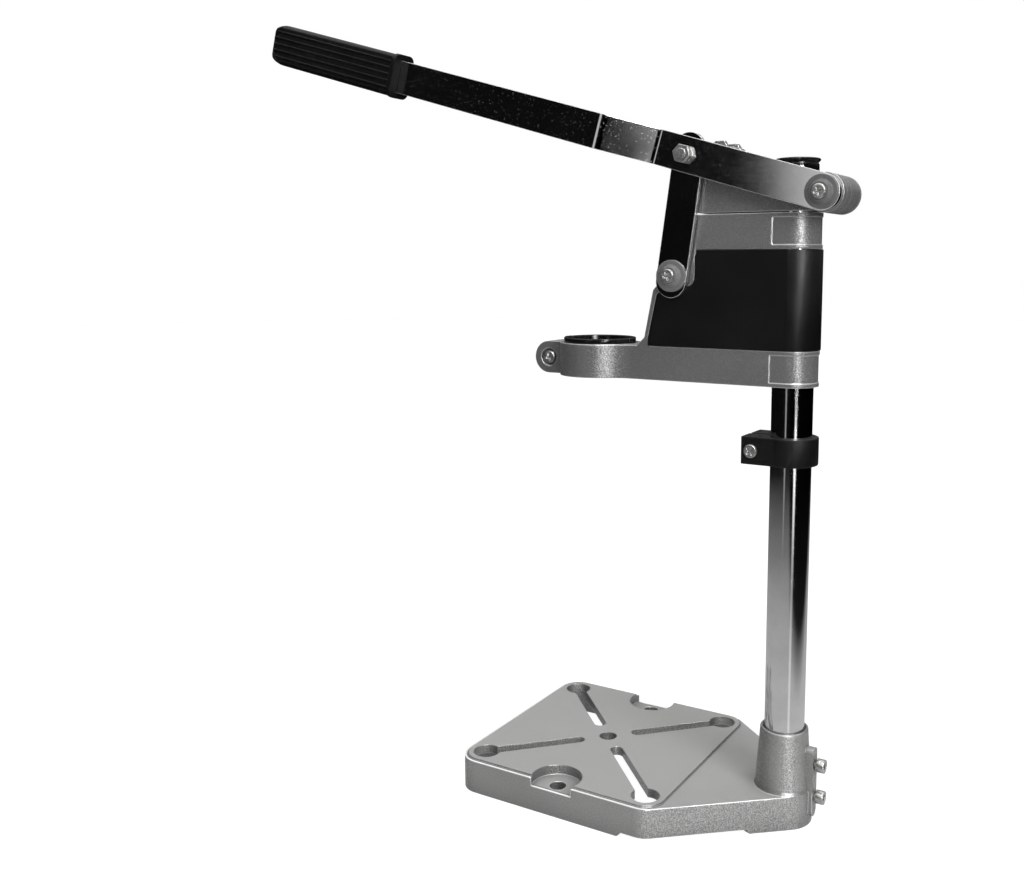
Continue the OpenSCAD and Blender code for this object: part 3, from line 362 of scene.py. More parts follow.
def flaked(tree, where, colour, looks, flakes, sparkle, ahead):
    """Colour of hammered paint with soft blotches and dust, and dark and bright flakes that are a painted
    glint on faces looking toward the highlight bearing.
    """
    cells = 1.0 / looks.grain_size
    blotch = grain(tree, where, cells / BLOTCH_DIMPLES, 3.0)
    dust = grain(tree, where, cells / DUST_DIMPLES, 4.0, 0.7)
    # Painted glint: the flakes show dark and bright only on faces that look toward the highlight bearing
    share = times(tree, spread(tree, ahead, *GLINT_AHEAD), looks.sparkle)
    shade = mix_colour(tree, times(tree, spread(tree, flakes, *DARK_FLAKE_SPAN), share), tint(colour),
                       tint(colour, LIT_FLAKE_DARK))
    shade = mix_colour(tree, times(tree, sparkle, share), shade, tint(colour, LIT_FLAKE_GLINT))
    shade = mix_colour(tree, spread(tree, blotch, *MIDDLE_NOISE), shade, grey(BLOTCH_TINT), "MULTIPLY")
    return mix_colour(tree, spread(tree, dust, *DUST_LEVELS), shade, tint(colour, DUST_TINT))


def wall_light_and_shade(tree, looks, ahead):
    """Painted light and shade on walls, as a share of the paint's colour: most on those that look toward the
    highlight bearing.
    """
    return times(tree, spread(tree, ahead, *LIT_AHEAD, looks.side_share, looks.side_share * looks.side_gain),
                 spread(tree, ahead, *SHADE_AHEAD))


def cast_paint(name, colour, looks, gain=1.0, machined=None, rings=None):
    """Hammered metallic paint on a casting, with a machined top or with turned rings on a boss."""
    material, tree, shader, where = new_finish(name)
    cells = 1.0 / looks.grain_size
    peel = grain(tree, where, cells, 2.0, 0.55)
    flakes = grain(tree, where, cells * FLAKE_FINENESS, 1.0, 0.5)
    rounded, edges = rounded_edges(tree, looks.edge_radius, 8)
    up = spread(tree, axes(tree, face_normal(tree))[2], *UP_SPAN)
    ahead = toward(tree, looks.highlight_turn)
    sparkle = spread(tree, flakes, *BRIGHT_FLAKE_SPAN)
    shade = flaked(tree, where, colour, looks, flakes, sparkle, ahead)
    rough = spread(tree, flakes, *FLAKE_SPAN, looks.roughness + FLAKE_ROUGHNESS,
                   looks.roughness - FLAKE_ROUGHNESS)
    height = times(tree, maths(tree, "ADD", peel, times(tree, flakes, FLAKE_RELIEF)),
                   spread(tree, ahead, *RELIEF_AHEAD))
    if machined is not None:
        above, middle = machined
        level = maths(tree, "GREATER_THAN", axes(tree, where)[2], above)
        top = times(tree, level, up)
        edges = times(tree, edges, rest_of(tree, level))
        left = rest_of(tree, times(tree, top, MACHINED_RELIEF_LOSS))
        height = times(tree, height, left)
        sparkle = times(tree, sparkle, left)
        shade = mix_colour(tree, times(tree, top, MACHINED_COVER), shade, tint(colour, MACHINED_TINT))
        # Walls painted darker than faces that look up, partly the rough cast skin and partly painted shade,
        # and walls toward the highlight bearing painted brighter
        shade = times_colour(tree, shade, mix_value(tree, up, wall_light_and_shade(tree, looks, ahead), looks.top_share))
    if rings is not None:
        turned = turned_rings(tree, where, *rings)
        shade = mix_colour(tree, turned, shade, tint(colour, RING_TINT))
        height = maths(tree, "SUBTRACT", height, times(tree, turned, RING_DEPTH))
    # Painted highlight along the rounded edges
    shade = mix_colour(tree, times(tree, edges, looks.edge_highlight_share), shade,
                       tint(colour, looks.edge_highlight_gain * gain))
    # Painted highlight on the outer rim and painted shade along the step of the machined top
    if machined is not None:
        shade = painted_rim_light(tree, shade, colour, looks, where, middle, times(tree, up, rest_of(tree, level)))
    # Painted shade deep in holes and pockets
    dark = times_colour(tree, shade, grey(looks.hollow_share))
    shade = mix_colour(tree, painted_hollow_shade(tree, looks.hollow_reach), dark, shade)
    fill(tree, shader, shade, mix_value(tree, up, rough, looks.top_roughness),
         bumped(tree, height, looks.grain_depth, rounded))
    put(tree, shader.inputs["Coat Weight"], mix_value(tree, up, sparkle, 0.0))
    shader.inputs["Coat Roughness"].default_value = COAT_ROUGHNESS
    shader.inputs["Coat IOR"].default_value = looks.coat_ior
    put(tree, shader.inputs["Metallic"], mix_value(tree, up, looks.metal_share, looks.top_metal))
    return material


def chrome(name, colour, roughness, smudge, along=(1.0, 1.0, 0.15), glints=0.0, edge=0.0):
    """Bright plated steel with faint drawing lines and handling marks, white dots that are painted glints,
    and a painted highlight along the edges.
    """
    material, tree, shader, where = new_finish(name)
    lines = grain(tree, where, DRAWN_CELLS, 3.0, 0.6, along)
    marks = grain(tree, where, MARK_CELLS, 4.0, 0.6)
    pits = grain(tree, where, PIT_CELLS, 1.0)
    shade = mix_colour(tree, spread(tree, marks, *MARK_SPAN), *tints(colour, MARK_TINTS))
    rough = spread(tree, maths(tree, "ADD", marks, times(tree, lines, LINE_ROUGHNESS)), *SMUDGE_SPAN,
                   roughness, roughness + smudge)
    height = maths(tree, "ADD", lines, times(tree, pits, PIT_RELIEF))
    metal = 1.0
    rounded = None
    if glints:
        # Painted glints: white dots on faces that look toward the highlight bearing
        share = spread(tree, toward(tree, HIGHLIGHT_TURN), *GLINTS_AHEAD, glints)
        dots = times(tree, spread(tree, grain(tree, where, SPECK_CELLS, 1.0), *SPECK_SPAN), share)
        shade = mix_colour(tree, dots, shade, WHITE)
        metal = spread(tree, dots, 0.0, 1.0, 1.0, SPECK_METAL)
    if edge:
        rounded, edges = rounded_edges(tree, edge)
        # Painted highlight: the rounded edges turn white
        shade = mix_colour(tree, times(tree, edges, EDGE_GLINT_SHARE), shade, WHITE)
        rough = mix_value(tree, edges, rough, EDGE_GLINT_ROUGHNESS)
        metal = mix_value(tree, edges, metal, EDGE_GLINT_METAL)
    fill(tree, shader, shade, rough, bumped(tree, height, CHROME_BUMP, rounded))
    put(tree, shader.inputs["Metallic"], metal)
    return material


def plastic(name, colour, roughness, texture=0.00003, cells=2600.0, highlight=0.4, sheen=0.35):
    """Moulded plastic with a fine spark texture and a painted highlight along its rounded edges."""
    material, tree, shader, where = new_finish(name)
    fine = grain(tree, where, cells, 2.0, 0.6)
    cloud = grain(tree, where, CLOUD_CELLS, 3.0)
    rounded, edges = rounded_edges(tree, PLASTIC_EDGE)
    shade = mix_colour(tree, spread(tree, cloud, *MIDDLE_NOISE), *tints(colour, CLOUD_TINTS))
    shade = mix_colour(tree, spread(tree, fine, *FLECK_LEVELS), shade, tint(colour, FLECK_TINT))
    # Painted highlight along the rounded edges
    shade = mix_colour(tree, times(tree, edges, highlight), shade, tint(colour, EDGE_HIGHLIGHT_TINT))
    rough = spread(tree, maths(tree, "ADD", cloud, fine), *CLOUD_SPAN, roughness - 0.05, roughness + 0.08)
    fill(tree, shader, shade, rough, bumped(tree, fine, texture, rounded))
    shader.inputs["Specular IOR Level"].default_value = sheen
    return material


def zinc(name, colour, roughness):
    """Bright zinc plating on small turned and pressed steel parts, with a painted highlight along the edges.
    """
    material, tree, shader, where = new_finish(name)
    frost = grain(tree, where, FROST_CELLS, 3.0, 0.65)
    bloom = grain(tree, where, BLOOM_CELLS, 3.0)
    rounded, edges = rounded_edges(tree, ZINC_EDGE)
    shade = mix_colour(tree, spread(tree, bloom, *MIDDLE_NOISE), *tints(colour, BLOOM_TINTS))
    # Painted highlight: bright edges against faces dimmed to part of the colour
    shade = mix_colour(tree, edges, times_colour(tree, shade, grey(ZINC_FACE)), tint(colour, ZINC_RIM_HIGHLIGHT))
    rough = spread(tree, frost, *FROST_SPAN, roughness - 0.08, roughness + 0.12)
    fill(tree, shader, shade, rough, bumped(tree, frost, ZINC_BUMP, rounded))
    put(tree, shader.inputs["Metallic"], spread(tree, edges, 0.0, 1.0, *ZINC_METALS))
    return material


# Small tools for meshes

def set_finish(obj, material):
    """Give an object one material on all its faces."""
    obj.data.materials.clear()
    obj.data.materials.append(material)
    for face in obj.data.polygons:
        face.material_index = 0


def dress_node(name, material, edge=0.0, steps=2):
    """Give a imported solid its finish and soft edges, with its mesh as it is."""
    obj = frame["nodes"][name]
    set_finish(obj, material)
    if edge:
        weld = obj.modifiers.new("Weld", "WELD")
        weld.merge_threshold = WELD_REACH
        flat = obj.modifiers.new("Flat faces", "DECIMATE")
        flat.decimate_type = "DISSOLVE"
        flat.angle_limit = FLAT_ANGLE
        bevel = obj.modifiers.new("Soft edges", "BEVEL")
        bevel.width = edge
        bevel.segments = steps
        bevel.limit_method = "ANGLE"
        bevel.angle_limit = SHARP_ANGLE
        bevel.use_clamp_overlap = False
        bevel.harden_normals = True
        bevel.miter_outer = "MITER_ARC"
    return obj


def new_piece(name, build, material, body, slot, *stands_for, smooth=40.0):
    """Turn a filled bmesh into a piece that rides on a body."""
    mesh = bpy.data.meshes.new(name)
    bmesh.ops.recalc_face_normals(build, faces=build.faces)
    build.to_mesh(mesh)
    build.free()
    obj = bpy.data.objects.new(name, mesh)
    bpy.context.scene.collection.objects.link(obj)
    mesh.materials.append(material)
    mesh.shade_smooth()
    mesh.set_sharp_from_angle(angle=math.radians(smooth))
    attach(obj, body)
    if stands_for:
        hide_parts(*stands_for)
    return obj


def skin_between(build, first, last):
    """Join two rings of vertices with quads."""
    for i in range(len(first)):
        j = (i + 1) % len(first)
        build.faces.new((first[i], first[j], last[j], last[i]))


def skin(build, rings):
    """Join rings of points into a tube of quads and return the rings of vertices."""
    rows = [[build.verts.new(point) for point in ring] for ring in rings]
    for low, high in zip(rows, rows[1:]):
        skin_between(build, low, high)
    return rows


def ring_points(radius, height, sides):
    """Points of a ring round the column's axis."""
    turns = (2 * math.pi * i / sides for i in range(sides))
    return [Vector((radius * math.cos(turn), radius * math.sin(turn), height)) for turn in turns]


def chosen(context):
    """The scene's settings for this stand."""
    return context.scene.drill_stand


# Settings

class CastingLook(bpy.types.PropertyGroup):
    """Paint of the base, the carriage and the head bracket"""
    square_side: bpy.props.FloatProperty(
        name="Square side", description="Side of the square part of the base", unit="LENGTH", default=0.150,
        min=0.05, max=0.5, precision=4)
    square_corner: bpy.props.FloatProperty(
        name="Square corner", description="Radius of the corners of the square", unit="LENGTH", default=0.015,
        min=0.001, max=0.05, precision=4)
    rim_inset: bpy.props.FloatProperty(
        name="Rim inset", description="Edge of the square to the machined top", unit="LENGTH", default=0.0025,
        min=0.0, max=0.02, precision=4)
    machined_height: bpy.props.FloatProperty(
        name="Machined height", description="Height above which the base's top is machined", unit="LENGTH",
        default=0.0222, min=0.0, max=0.1, precision=4)
    base_colour: bpy.props.FloatVectorProperty(
        name="Base colour", description="Paint of the base", subtype="COLOR", size=3,
        default=(0.56, 0.56, 0.55), min=0.0, max=1.0)
    carriage_colour: bpy.props.FloatVectorProperty(
        name="Carriage colour", description="Paint of the carriage and the bracket", subtype="COLOR", size=3,
        default=(0.225, 0.225, 0.225), min=0.0, max=1.0)
    grain_size: bpy.props.FloatProperty(
        name="Grain size", description="Size of one dimple of the hammered paint", unit="LENGTH",
        default=0.0012, min=0.0002, max=0.005, precision=5)
    grain_depth: bpy.props.FloatProperty(
        name="Grain depth", description="Depth of the dimples", unit="LENGTH",
        default=0.00022, min=0.0, max=0.001, precision=5)
    roughness: bpy.props.FloatProperty(
        name="Roughness", description="Roughness of the paint", subtype="FACTOR", default=0.36, min=0.0,
        max=1.0)
    metal_share: bpy.props.FloatProperty(
        name="Metallic share", description="How metallic the paint looks", subtype="FACTOR",
        default=0.55, min=0.0, max=1.0)
    top_roughness: bpy.props.FloatProperty(
        name="Top roughness", description="Roughness of faces that look up", subtype="FACTOR", default=0.68,
        min=0.0, max=1.0)
    top_metal: bpy.props.FloatProperty(
        name="Top metallic share", description="How metallic the faces that look up are", subtype="FACTOR",
        default=0.12, min=0.0, max=1.0)
    # Wall shade, lit wall gain and top shade paint light and shade on the base: walls darker than the top,
    # walls toward the highlight bearing brighter
    side_share: bpy.props.FloatProperty(
        name="Wall shade", description="Share of the base's colour on its walls", subtype="FACTOR",
        default=0.56, min=0.0, max=1.0)
    side_gain: bpy.props.FloatProperty(
        name="Lit wall gain", description="Brightness of the walls that look toward the flakes' bearing",
        default=1.22, min=1.0, max=2.0)
    top_share: bpy.props.FloatProperty(
        name="Top shade", description="Share of the base's colour on faces that look up", subtype="FACTOR",
        default=0.68, min=0.0, max=1.0)
    # Sparkle sets the strength of the painted glint of the flakes
    sparkle: bpy.props.FloatProperty(
        name="Sparkle", description="Contrast of the bright flakes in the paint", subtype="FACTOR",
        default=0.62, min=0.0, max=1.0)
    # The highlight bearing: faces that look toward it get the painted glints and painted light
    highlight_turn: bpy.props.FloatProperty(
        name="Sparkle bearing", description="Bearing of the faces whose flakes show most", subtype="ANGLE",
        default=HIGHLIGHT_TURN)
    coat_ior: bpy.props.FloatProperty(
        name="Flake index", description="Refractive index of the clear coat over the flakes", default=1.58,
        min=1.0, max=3.0)
    # Hollow reach and hollow share set the painted shade in holes and pockets
    hollow_reach: bpy.props.FloatProperty(
        name="Hollow reach", description="How far a wall darkens the paint near it", unit="LENGTH",
        default=0.017, min=0.001, max=0.1, precision=4)
    hollow_share: bpy.props.FloatProperty(
        name="Hollow share", description="Brightness left in deep holes", subtype="FACTOR", default=0.17,
        min=0.0, max=1.0)
    edge_radius: bpy.props.FloatProperty(
        name="Edge radius", description="Radius of the rounded casting edges", unit="LENGTH",
        default=0.0011, min=0.0001, max=0.003, precision=5)
    # The two edge settings below set the painted highlight along the rounded casting edges
    edge_highlight_share: bpy.props.FloatProperty(
        name="Edge wear", description="How much the edges brighten", subtype="FACTOR", default=0.85,
        min=0.0, max=1.0)
    edge_highlight_gain: bpy.props.FloatProperty(
        name="Edge gain", description="Brightness of a worn edge against the paint", default=2.6, min=1.0,
        max=6.0)


class BrightLook(bpy.types.PropertyGroup):
    """Chrome and zinc"""
    bar_edge: bpy.props.FloatProperty(
        name="Bar edge radius", description="Radius of the rounded edges of the lever and the link",
        unit="LENGTH", default=0.0006, min=0.0001, max=0.002, precision=5)
    tube_edge: bpy.props.FloatProperty(
        name="Tube edge", description="Chamfer of the column's ends", unit="LENGTH", default=0.0003,
        min=0.0001, max=0.002, precision=4)
    tube_sides: bpy.props.IntProperty(
        name="Tube sides", description="Faces round the column", default=160, min=24, max=512)
    tube_wall: bpy.props.FloatProperty(
        name="Tube wall", description="Wall of the column tube", unit="LENGTH", default=0.002, min=0.0005,
        max=0.005, precision=4)
    chrome_colour: bpy.props.FloatVectorProperty(
        name="Chrome colour", description="Plating of the column, the lever and the link", subtype="COLOR",
        size=3, default=(0.78, 0.78, 0.79), min=0.0, max=1.0)
    zinc_colour: bpy.props.FloatVectorProperty(
        name="Zinc colour", description="Plating of screws, bolts and nuts", subtype="COLOR",
        size=3, default=(0.72, 0.72, 0.70), min=0.0, max=1.0)
    column_roughness: bpy.props.FloatProperty(
        name="Column roughness", description="Roughness of the column", subtype="FACTOR",
        default=0.07, min=0.0, max=1.0)
    lever_roughness: bpy.props.FloatProperty(
        name="Lever roughness", description="Roughness of the lever and the link", subtype="FACTOR",
        default=0.06, min=0.0, max=1.0)
    # The lever's bright dots are painted glints on faces that look toward the highlight bearing
    glints: bpy.props.FloatProperty(
        name="Specks", description="Strength of the bright specks on the lever", subtype="FACTOR",
        default=0.6, min=0.0, max=1.0)
    zinc_roughness: bpy.props.FloatProperty(
        name="Zinc roughness", description="Roughness of the zinc", subtype="FACTOR", default=0.28, min=0.0,
        max=1.0)


class PlasticLook(bpy.types.PropertyGroup):
    """Plastic and rubber parts"""
    cover_colour: bpy.props.FloatVectorProperty(
        name="Cover colour", description="Satin plastic of the cover", subtype="COLOR", size=3,
        default=(0.0035, 0.0035, 0.0035), min=0.0, max=1.0)
    ring_colour: bpy.props.FloatVectorProperty(
        name="Ring colour", description="Matte plastic of the stop ring and the cap", subtype="COLOR", size=3,
        default=(0.004, 0.004, 0.004), min=0.0, max=1.0)
    reducer_colour: bpy.props.FloatVectorProperty(
        name="Reducer colour", description="Glossy plastic of the reducer ring", subtype="COLOR", size=3,
        default=(0.006, 0.006, 0.006), min=0.0, max=1.0)
    grip_colour: bpy.props.FloatVectorProperty(
        name="Grip colour", description="Rubber of the grip", subtype="COLOR", size=3,
        default=(0.0035, 0.0035, 0.0035), min=0.0, max=1.0)
    bush_colour: bpy.props.FloatVectorProperty(
        name="Bush colour", description="Plastic of the pivot bushes", subtype="COLOR", size=3,
        default=(0.13, 0.13, 0.13), min=0.0, max=1.0)


class CoilShape(bpy.types.PropertyGroup):
    """Sizes of the return spring"""
    wire: bpy.props.FloatProperty(
        name="Wire", description="Diameter of the spring's wire", unit="LENGTH", default=0.0014,
        min=0.0005, max=0.003, precision=4)
    ring_steps: bpy.props.IntProperty(
        name="Steps", description="Steps of the wire in one turn", default=48, min=12, max=128)
    wire_sides: bpy.props.IntProperty(
        name="Wire sides", description="Faces round the wire", default=12, min=6, max=32)
    turns: bpy.props.FloatProperty(
        name="Turns", description="Turns of the spring", default=6.0, min=2.0, max=12.0)
    kept: bpy.props.FloatProperty(
        name="Pressed share", description="Share of its length that is left when the carriage is down",
        subtype="FACTOR", default=0.424, min=0.05, max=1.0)


class StudioLook(bpy.types.PropertyGroup):
    """Lights, floor and camera"""
    world_strength: bpy.props.FloatProperty(
        name="Ambient light", description="Strength of the even white light", default=0.30, min=0.0, max=5.0)
    key_power: bpy.props.FloatProperty(
        name="Key power", description="Power of the large lamp at the right", unit="POWER", default=26.0,
        min=0.0, max=500.0)
    fill_power: bpy.props.FloatProperty(
        name="Fill power", description="Power of the lamp overhead", unit="POWER", default=14.0, min=0.0,
        max=500.0)
    key_place: bpy.props.FloatVectorProperty(
        name="Key place", description="Where the lamp at the right hangs", subtype="TRANSLATION", size=3,
        unit="LENGTH", default=(1.45, -0.75, 0.85))
    key_size: bpy.props.FloatProperty(
        name="Key size", description="Side of the lamp at the right", unit="LENGTH", default=0.8, min=0.01,
        max=5.0)
    fill_place: bpy.props.FloatVectorProperty(
        name="Overhead place", description="Where the lamp overhead hangs", subtype="TRANSLATION", size=3,
        unit="LENGTH", default=(-0.5, -0.3, 1.6))
    fill_size: bpy.props.FloatProperty(
        name="Overhead size", description="Side of the lamp overhead", unit="LENGTH", default=1.4, min=0.01,
        max=5.0)
    lamp_aim: bpy.props.FloatVectorProperty(
        name="Lamp aim", description="Point that both lamps look at", subtype="TRANSLATION", size=3,
        unit="LENGTH", default=(-0.05, 0.0, 0.25))
    floor_glow: bpy.props.FloatProperty(
        name="Floor white", description="Strength of the white that the camera sees on the floor",
        default=1.25, min=0.0, max=5.0)
    floor_glow_share: bpy.props.FloatProperty(
        name="Floor white share", description="How much of the floor's shadow that white hides",
        subtype="FACTOR", default=0.78, min=0.0, max=1.0)
    strip_turn: bpy.props.FloatProperty(
        name="Strip bearing", description="Bearing of the bright strip that reflections show",
        subtype="ANGLE", default=math.radians(-48.3))
    strip_half: bpy.props.FloatProperty(
        name="Strip half width", description="Half of the strip's angle", subtype="ANGLE",
        default=math.radians(4.0), min=0.0)
    strip_level: bpy.props.FloatProperty(
        name="Strip level", description="Brightness of the strip in reflections", default=28.0, min=0.0,
        max=100.0)
    patch_turn: bpy.props.FloatProperty(
        name="Patch bearing", description="Bearing of the grey patch that reflections show", subtype="ANGLE",
        default=math.radians(-103.6))
    patch_level: bpy.props.FloatProperty(
        name="Patch level", description="Brightness of the patch in reflections", default=0.60, min=0.0,
        max=10.0)
    top_level: bpy.props.FloatProperty(
        name="Top level", description="Brightness overhead in reflections", default=2.0, min=0.0, max=10.0)
    back_level: bpy.props.FloatProperty(
        name="Back level", description="Brightness high at the back in reflections", default=0.35, min=0.0,
        max=10.0)
    room_level: bpy.props.FloatProperty(
        name="Room level", description="Brightness of the rest of the room in reflections", default=0.004,
        min=0.0, max=10.0)
    pool_level: bpy.props.FloatProperty(
        name="Floor level", description="Brightness of the near floor in reflections", default=0.58, min=0.0,
        max=10.0)
    floor_radius: bpy.props.FloatProperty(
        name="Floor radius", description="Radius of the floor disc", unit="LENGTH", default=6.0, min=1.0,
        max=50.0)
    camera_place: bpy.props.FloatVectorProperty(
        name="Camera place", description="Where the camera stands", subtype="TRANSLATION", size=3,
        unit="LENGTH", default=(0.20899, -0.60014, 0.34907))
    camera_yaw: bpy.props.FloatProperty(
        name="Camera yaw", description="Turn of the camera to the left of the -Y side", subtype="ANGLE",
        default=math.radians(29.782))
    camera_pitch: bpy.props.FloatProperty(
        name="Camera pitch", description="Tilt of the camera below the horizon", subtype="ANGLE",
        default=math.radians(7.565))
    focal_pixels: bpy.props.FloatProperty(
        name="Focal length", description="Focal length in pixels of the picture", subtype="PIXEL",
        default=1041.03)
    middle_x: bpy.props.FloatProperty(
        name="Middle across", description="Optical middle across the picture", subtype="PIXEL",
        default=599.44)
    middle_y: bpy.props.FloatProperty(
        name="Middle down", description="Optical middle down the picture", subtype="PIXEL", default=401.71)


class DrillStandSettings(bpy.types.PropertyGroup):
    """All the settings of the drill stand"""
    castings: bpy.props.PointerProperty(type=CastingLook, name="Castings", description="Paint of castings")
    bright: bpy.props.PointerProperty(type=BrightLook, name="Bright metal", description="Chrome and zinc")
    plastics: bpy.props.PointerProperty(type=PlasticLook, name="Plastics", description="Plastic and rubber")
    coil: bpy.props.PointerProperty(type=CoilShape, name="Spring", description="Sizes of the return spring")
    studio: bpy.props.PointerProperty(type=StudioLook, name="Studio", description="Lights, floor and camera")


# Pieces

class DRILLSTAND_OT_castings(bpy.types.Operator):
    """Paint the base, the carriage and the head bracket"""
    bl_idname = "drillstand.castings"
    bl_label = "Castings"

    def execute(self, context):
        looks = chosen(context).castings
        low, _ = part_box("base_casting")
        machined = (low.z + looks.machined_height, low.x + looks.square_side / 2)
        base = cast_paint("Base hammered paint", looks.base_colour, looks, machined=machined)
        carriage = cast_paint("Carriage grained paint", looks.carriage_colour, looks, CARRIAGE_EDGE_HIGHLIGHT)
        bracket = cast_paint("Bracket grained paint", looks.carriage_colour, looks, BRACKET_EDGE_HIGHLIGHT,
                             rings=(JOINT_AT["lever_hinge"], BOSS_RINGS_INNER, BOSS_RINGS_AT))
        dress_node("base_casting", base)
        dress_node("carriage_casting", carriage)
        dress_node("head_bracket", bracket)
        return {"FINISHED"}


class DRILLSTAND_OT_column(bpy.types.Operator):
    """Turn and chrome the column tube"""
    bl_idname = "drillstand.column"
    bl_label = "Column"

    def execute(self, context):
        looks = chosen(context).bright
        finish = chrome("Column chrome", looks.chrome_colour, looks.column_roughness, 0.08)
        low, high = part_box("column_tube")
        outer = (high.x - low.x) / 2
        inner = outer - looks.tube_wall
        edge = looks.tube_edge
        profile = [(outer - edge, low.z), (outer, low.z + edge), (outer, high.z - edge),
                   (outer - edge, high.z), (inner, high.z), (inner, low.z)]
        build = bmesh.new()
        rows = skin(build, [ring_points(radius, height, looks.tube_sides) for radius, height in profile])
        skin_between(build, rows[-1], rows[0])
        new_piece("column_tube_turned", build, finish, "root", "column_chrome", "column_tube", smooth=30.0)
        return {"FINISHED"}


class DRILLSTAND_OT_bars(bpy.types.Operator):
    """Chrome the lever bar and the link"""
    bl_idname = "drillstand.bars"
    bl_label = "Lever bar and link"

    def execute(self, context):
        looks = chosen(context).bright
        lever = chrome("Lever chrome", looks.chrome_colour, looks.lever_roughness, 0.05,
                       along=(0.15, 1.0, 1.0), glints=looks.glints, edge=looks.bar_edge)
        dress_node("lever_bar", lever)
        link = chrome("Link chrome", looks.chrome_colour, looks.lever_roughness * LINK_GLOSS, 0.03,
                      edge=looks.bar_edge)
        dress_node("link_bar", link)
        return {"FINISHED"}


class DRILLSTAND_OT_mouldings(bpy.types.Operator):
    """Finish the cover, the stop ring, the cap, the guide bushes and the reducer ring"""
    bl_idname = "drillstand.mouldings"
    bl_label = "Moulded parts"

    def execute(self, context):
        looks = chosen(context).plastics
        cover = plastic("Cover satin plastic", looks.cover_colour, 0.38, sheen=0.26)
        ring = plastic("Ring matte plastic", looks.ring_colour, 0.46, 0.00005, sheen=0.2)
        cap = plastic("Cap gloss plastic", looks.ring_colour, 0.22, 0.00001)
        reducer = plastic("Reducer gloss plastic", looks.reducer_colour, 0.16, 0.000008)
        guide = plastic("Guide bush plastic", looks.ring_colour, 0.40, 0.00002)
        for name, material, edge, steps in (
                ("carriage_cover", cover, 0.0004, 2), ("stop_ring", ring, 0.0006, 2),
                ("column_cap", cap, 0.0003, 2), ("reducer_ring", reducer, 0.0004, 2),
                ("upper_guide_bush", guide, 0.0002, 1), ("lower_guide_bush", guide, 0.0002, 1)):
            dress_node(name, material, edge, steps)
        return {"FINISHED"}


class DRILLSTAND_OT_bushes(bpy.types.Operator):
    """Finish the two pivot bushes"""
    bl_idname = "drillstand.bushes"
    bl_label = "Pivot bushes"

    def execute(self, context):
        looks = chosen(context).plastics
        finish = plastic("Bush grey plastic", looks.bush_colour, 0.42, 0.00004, 1800.0, 0.9)
        for name in ("lever_pivot_bush", "link_pin_bush"):
            dress_node(name, finish, SOFT_EDGE)
        return {"FINISHED"}


class DRILLSTAND_OT_fasteners(bpy.types.Operator):
    """Finish the screws, bolts, nuts, washers and the seat collar"""
    bl_idname = "drillstand.fasteners"
    bl_label = "Fasteners"

    def execute(self, context):
        looks = chosen(context).bright
        finish = zinc("Zinc plate", looks.zinc_colour, looks.zinc_roughness)
        for name in ("socket_screws", "stop_ring_screw", "stop_ring_nut", "spring_seat_collar",
                     "seat_collar_screw", "collar_clamp_screw", "collar_clamp_nut", "bracket_clamp_bolt",
                     "bracket_clamp_nut", "lever_pivot_washer", "lever_pivot_screw", "lever_pivot_nut",
                     "link_bolt", "link_bolt_nut", "link_washer", "link_pin_washer", "link_pin_screw"):
            dress_node(name, finish, SCREW_EDGE)
        return {"FINISHED"}


class DRILLSTAND_OT_grip(bpy.types.Operator):
    """Finish the grip"""
    bl_idname = "drillstand.grip"
    bl_label = "Grip"

    def execute(self, context):
        looks = chosen(context).plastics
        rubber = plastic("Grip rubber", looks.grip_colour, 0.52, 0.00006, 1900.0, 0.5, sheen=0.14)
        dress_node("lever_grip", rubber, SOFT_EDGE)
        return {"FINISHED"}


class DRILLSTAND_OT_spring(bpy.types.Operator):
    """Wind the return spring"""
    bl_idname = "drillstand.spring"
    bl_label = "Return spring"

    def execute(self, context):
        shape = chosen(context).coil
        looks = chosen(context).bright
        finish = zinc("Spring wire", tint(looks.zinc_colour, WIRE_TINT), 0.30)
        low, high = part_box("return_spring")
        radius = shape.wire / 2
        middle = (high.x - low.x) / 2 - radius
        bottom = low.z + radius
        top = high.z - radius
        steps = int(shape.turns * shape.ring_steps)
        around = [2 * math.pi * k / shape.wire_sides for k in range(shape.wire_sides)]
        rings = []
        for i in range(steps + 1):
            share = i / steps
            turn = 2 * math.pi * shape.turns * share
            out = Vector((math.cos(turn), math.sin(turn), 0.0))
            centre = out * middle + Vector((0.0, 0.0, bottom + (top - bottom) * share))
            rings.append([centre + out * radius * math.cos(a) + Vector((0, 0, 1)) * radius * math.sin(a)
                          for a in around])
        build = bmesh.new()
        rows = skin(build, rings)
        build.faces.new(rows[0])
        build.faces.new(rows[-1])
        piece = new_piece("return_spring_coil", build, finish, "root", "spring_steel", "return_spring")
        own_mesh(piece)
        return {"FINISHED"}


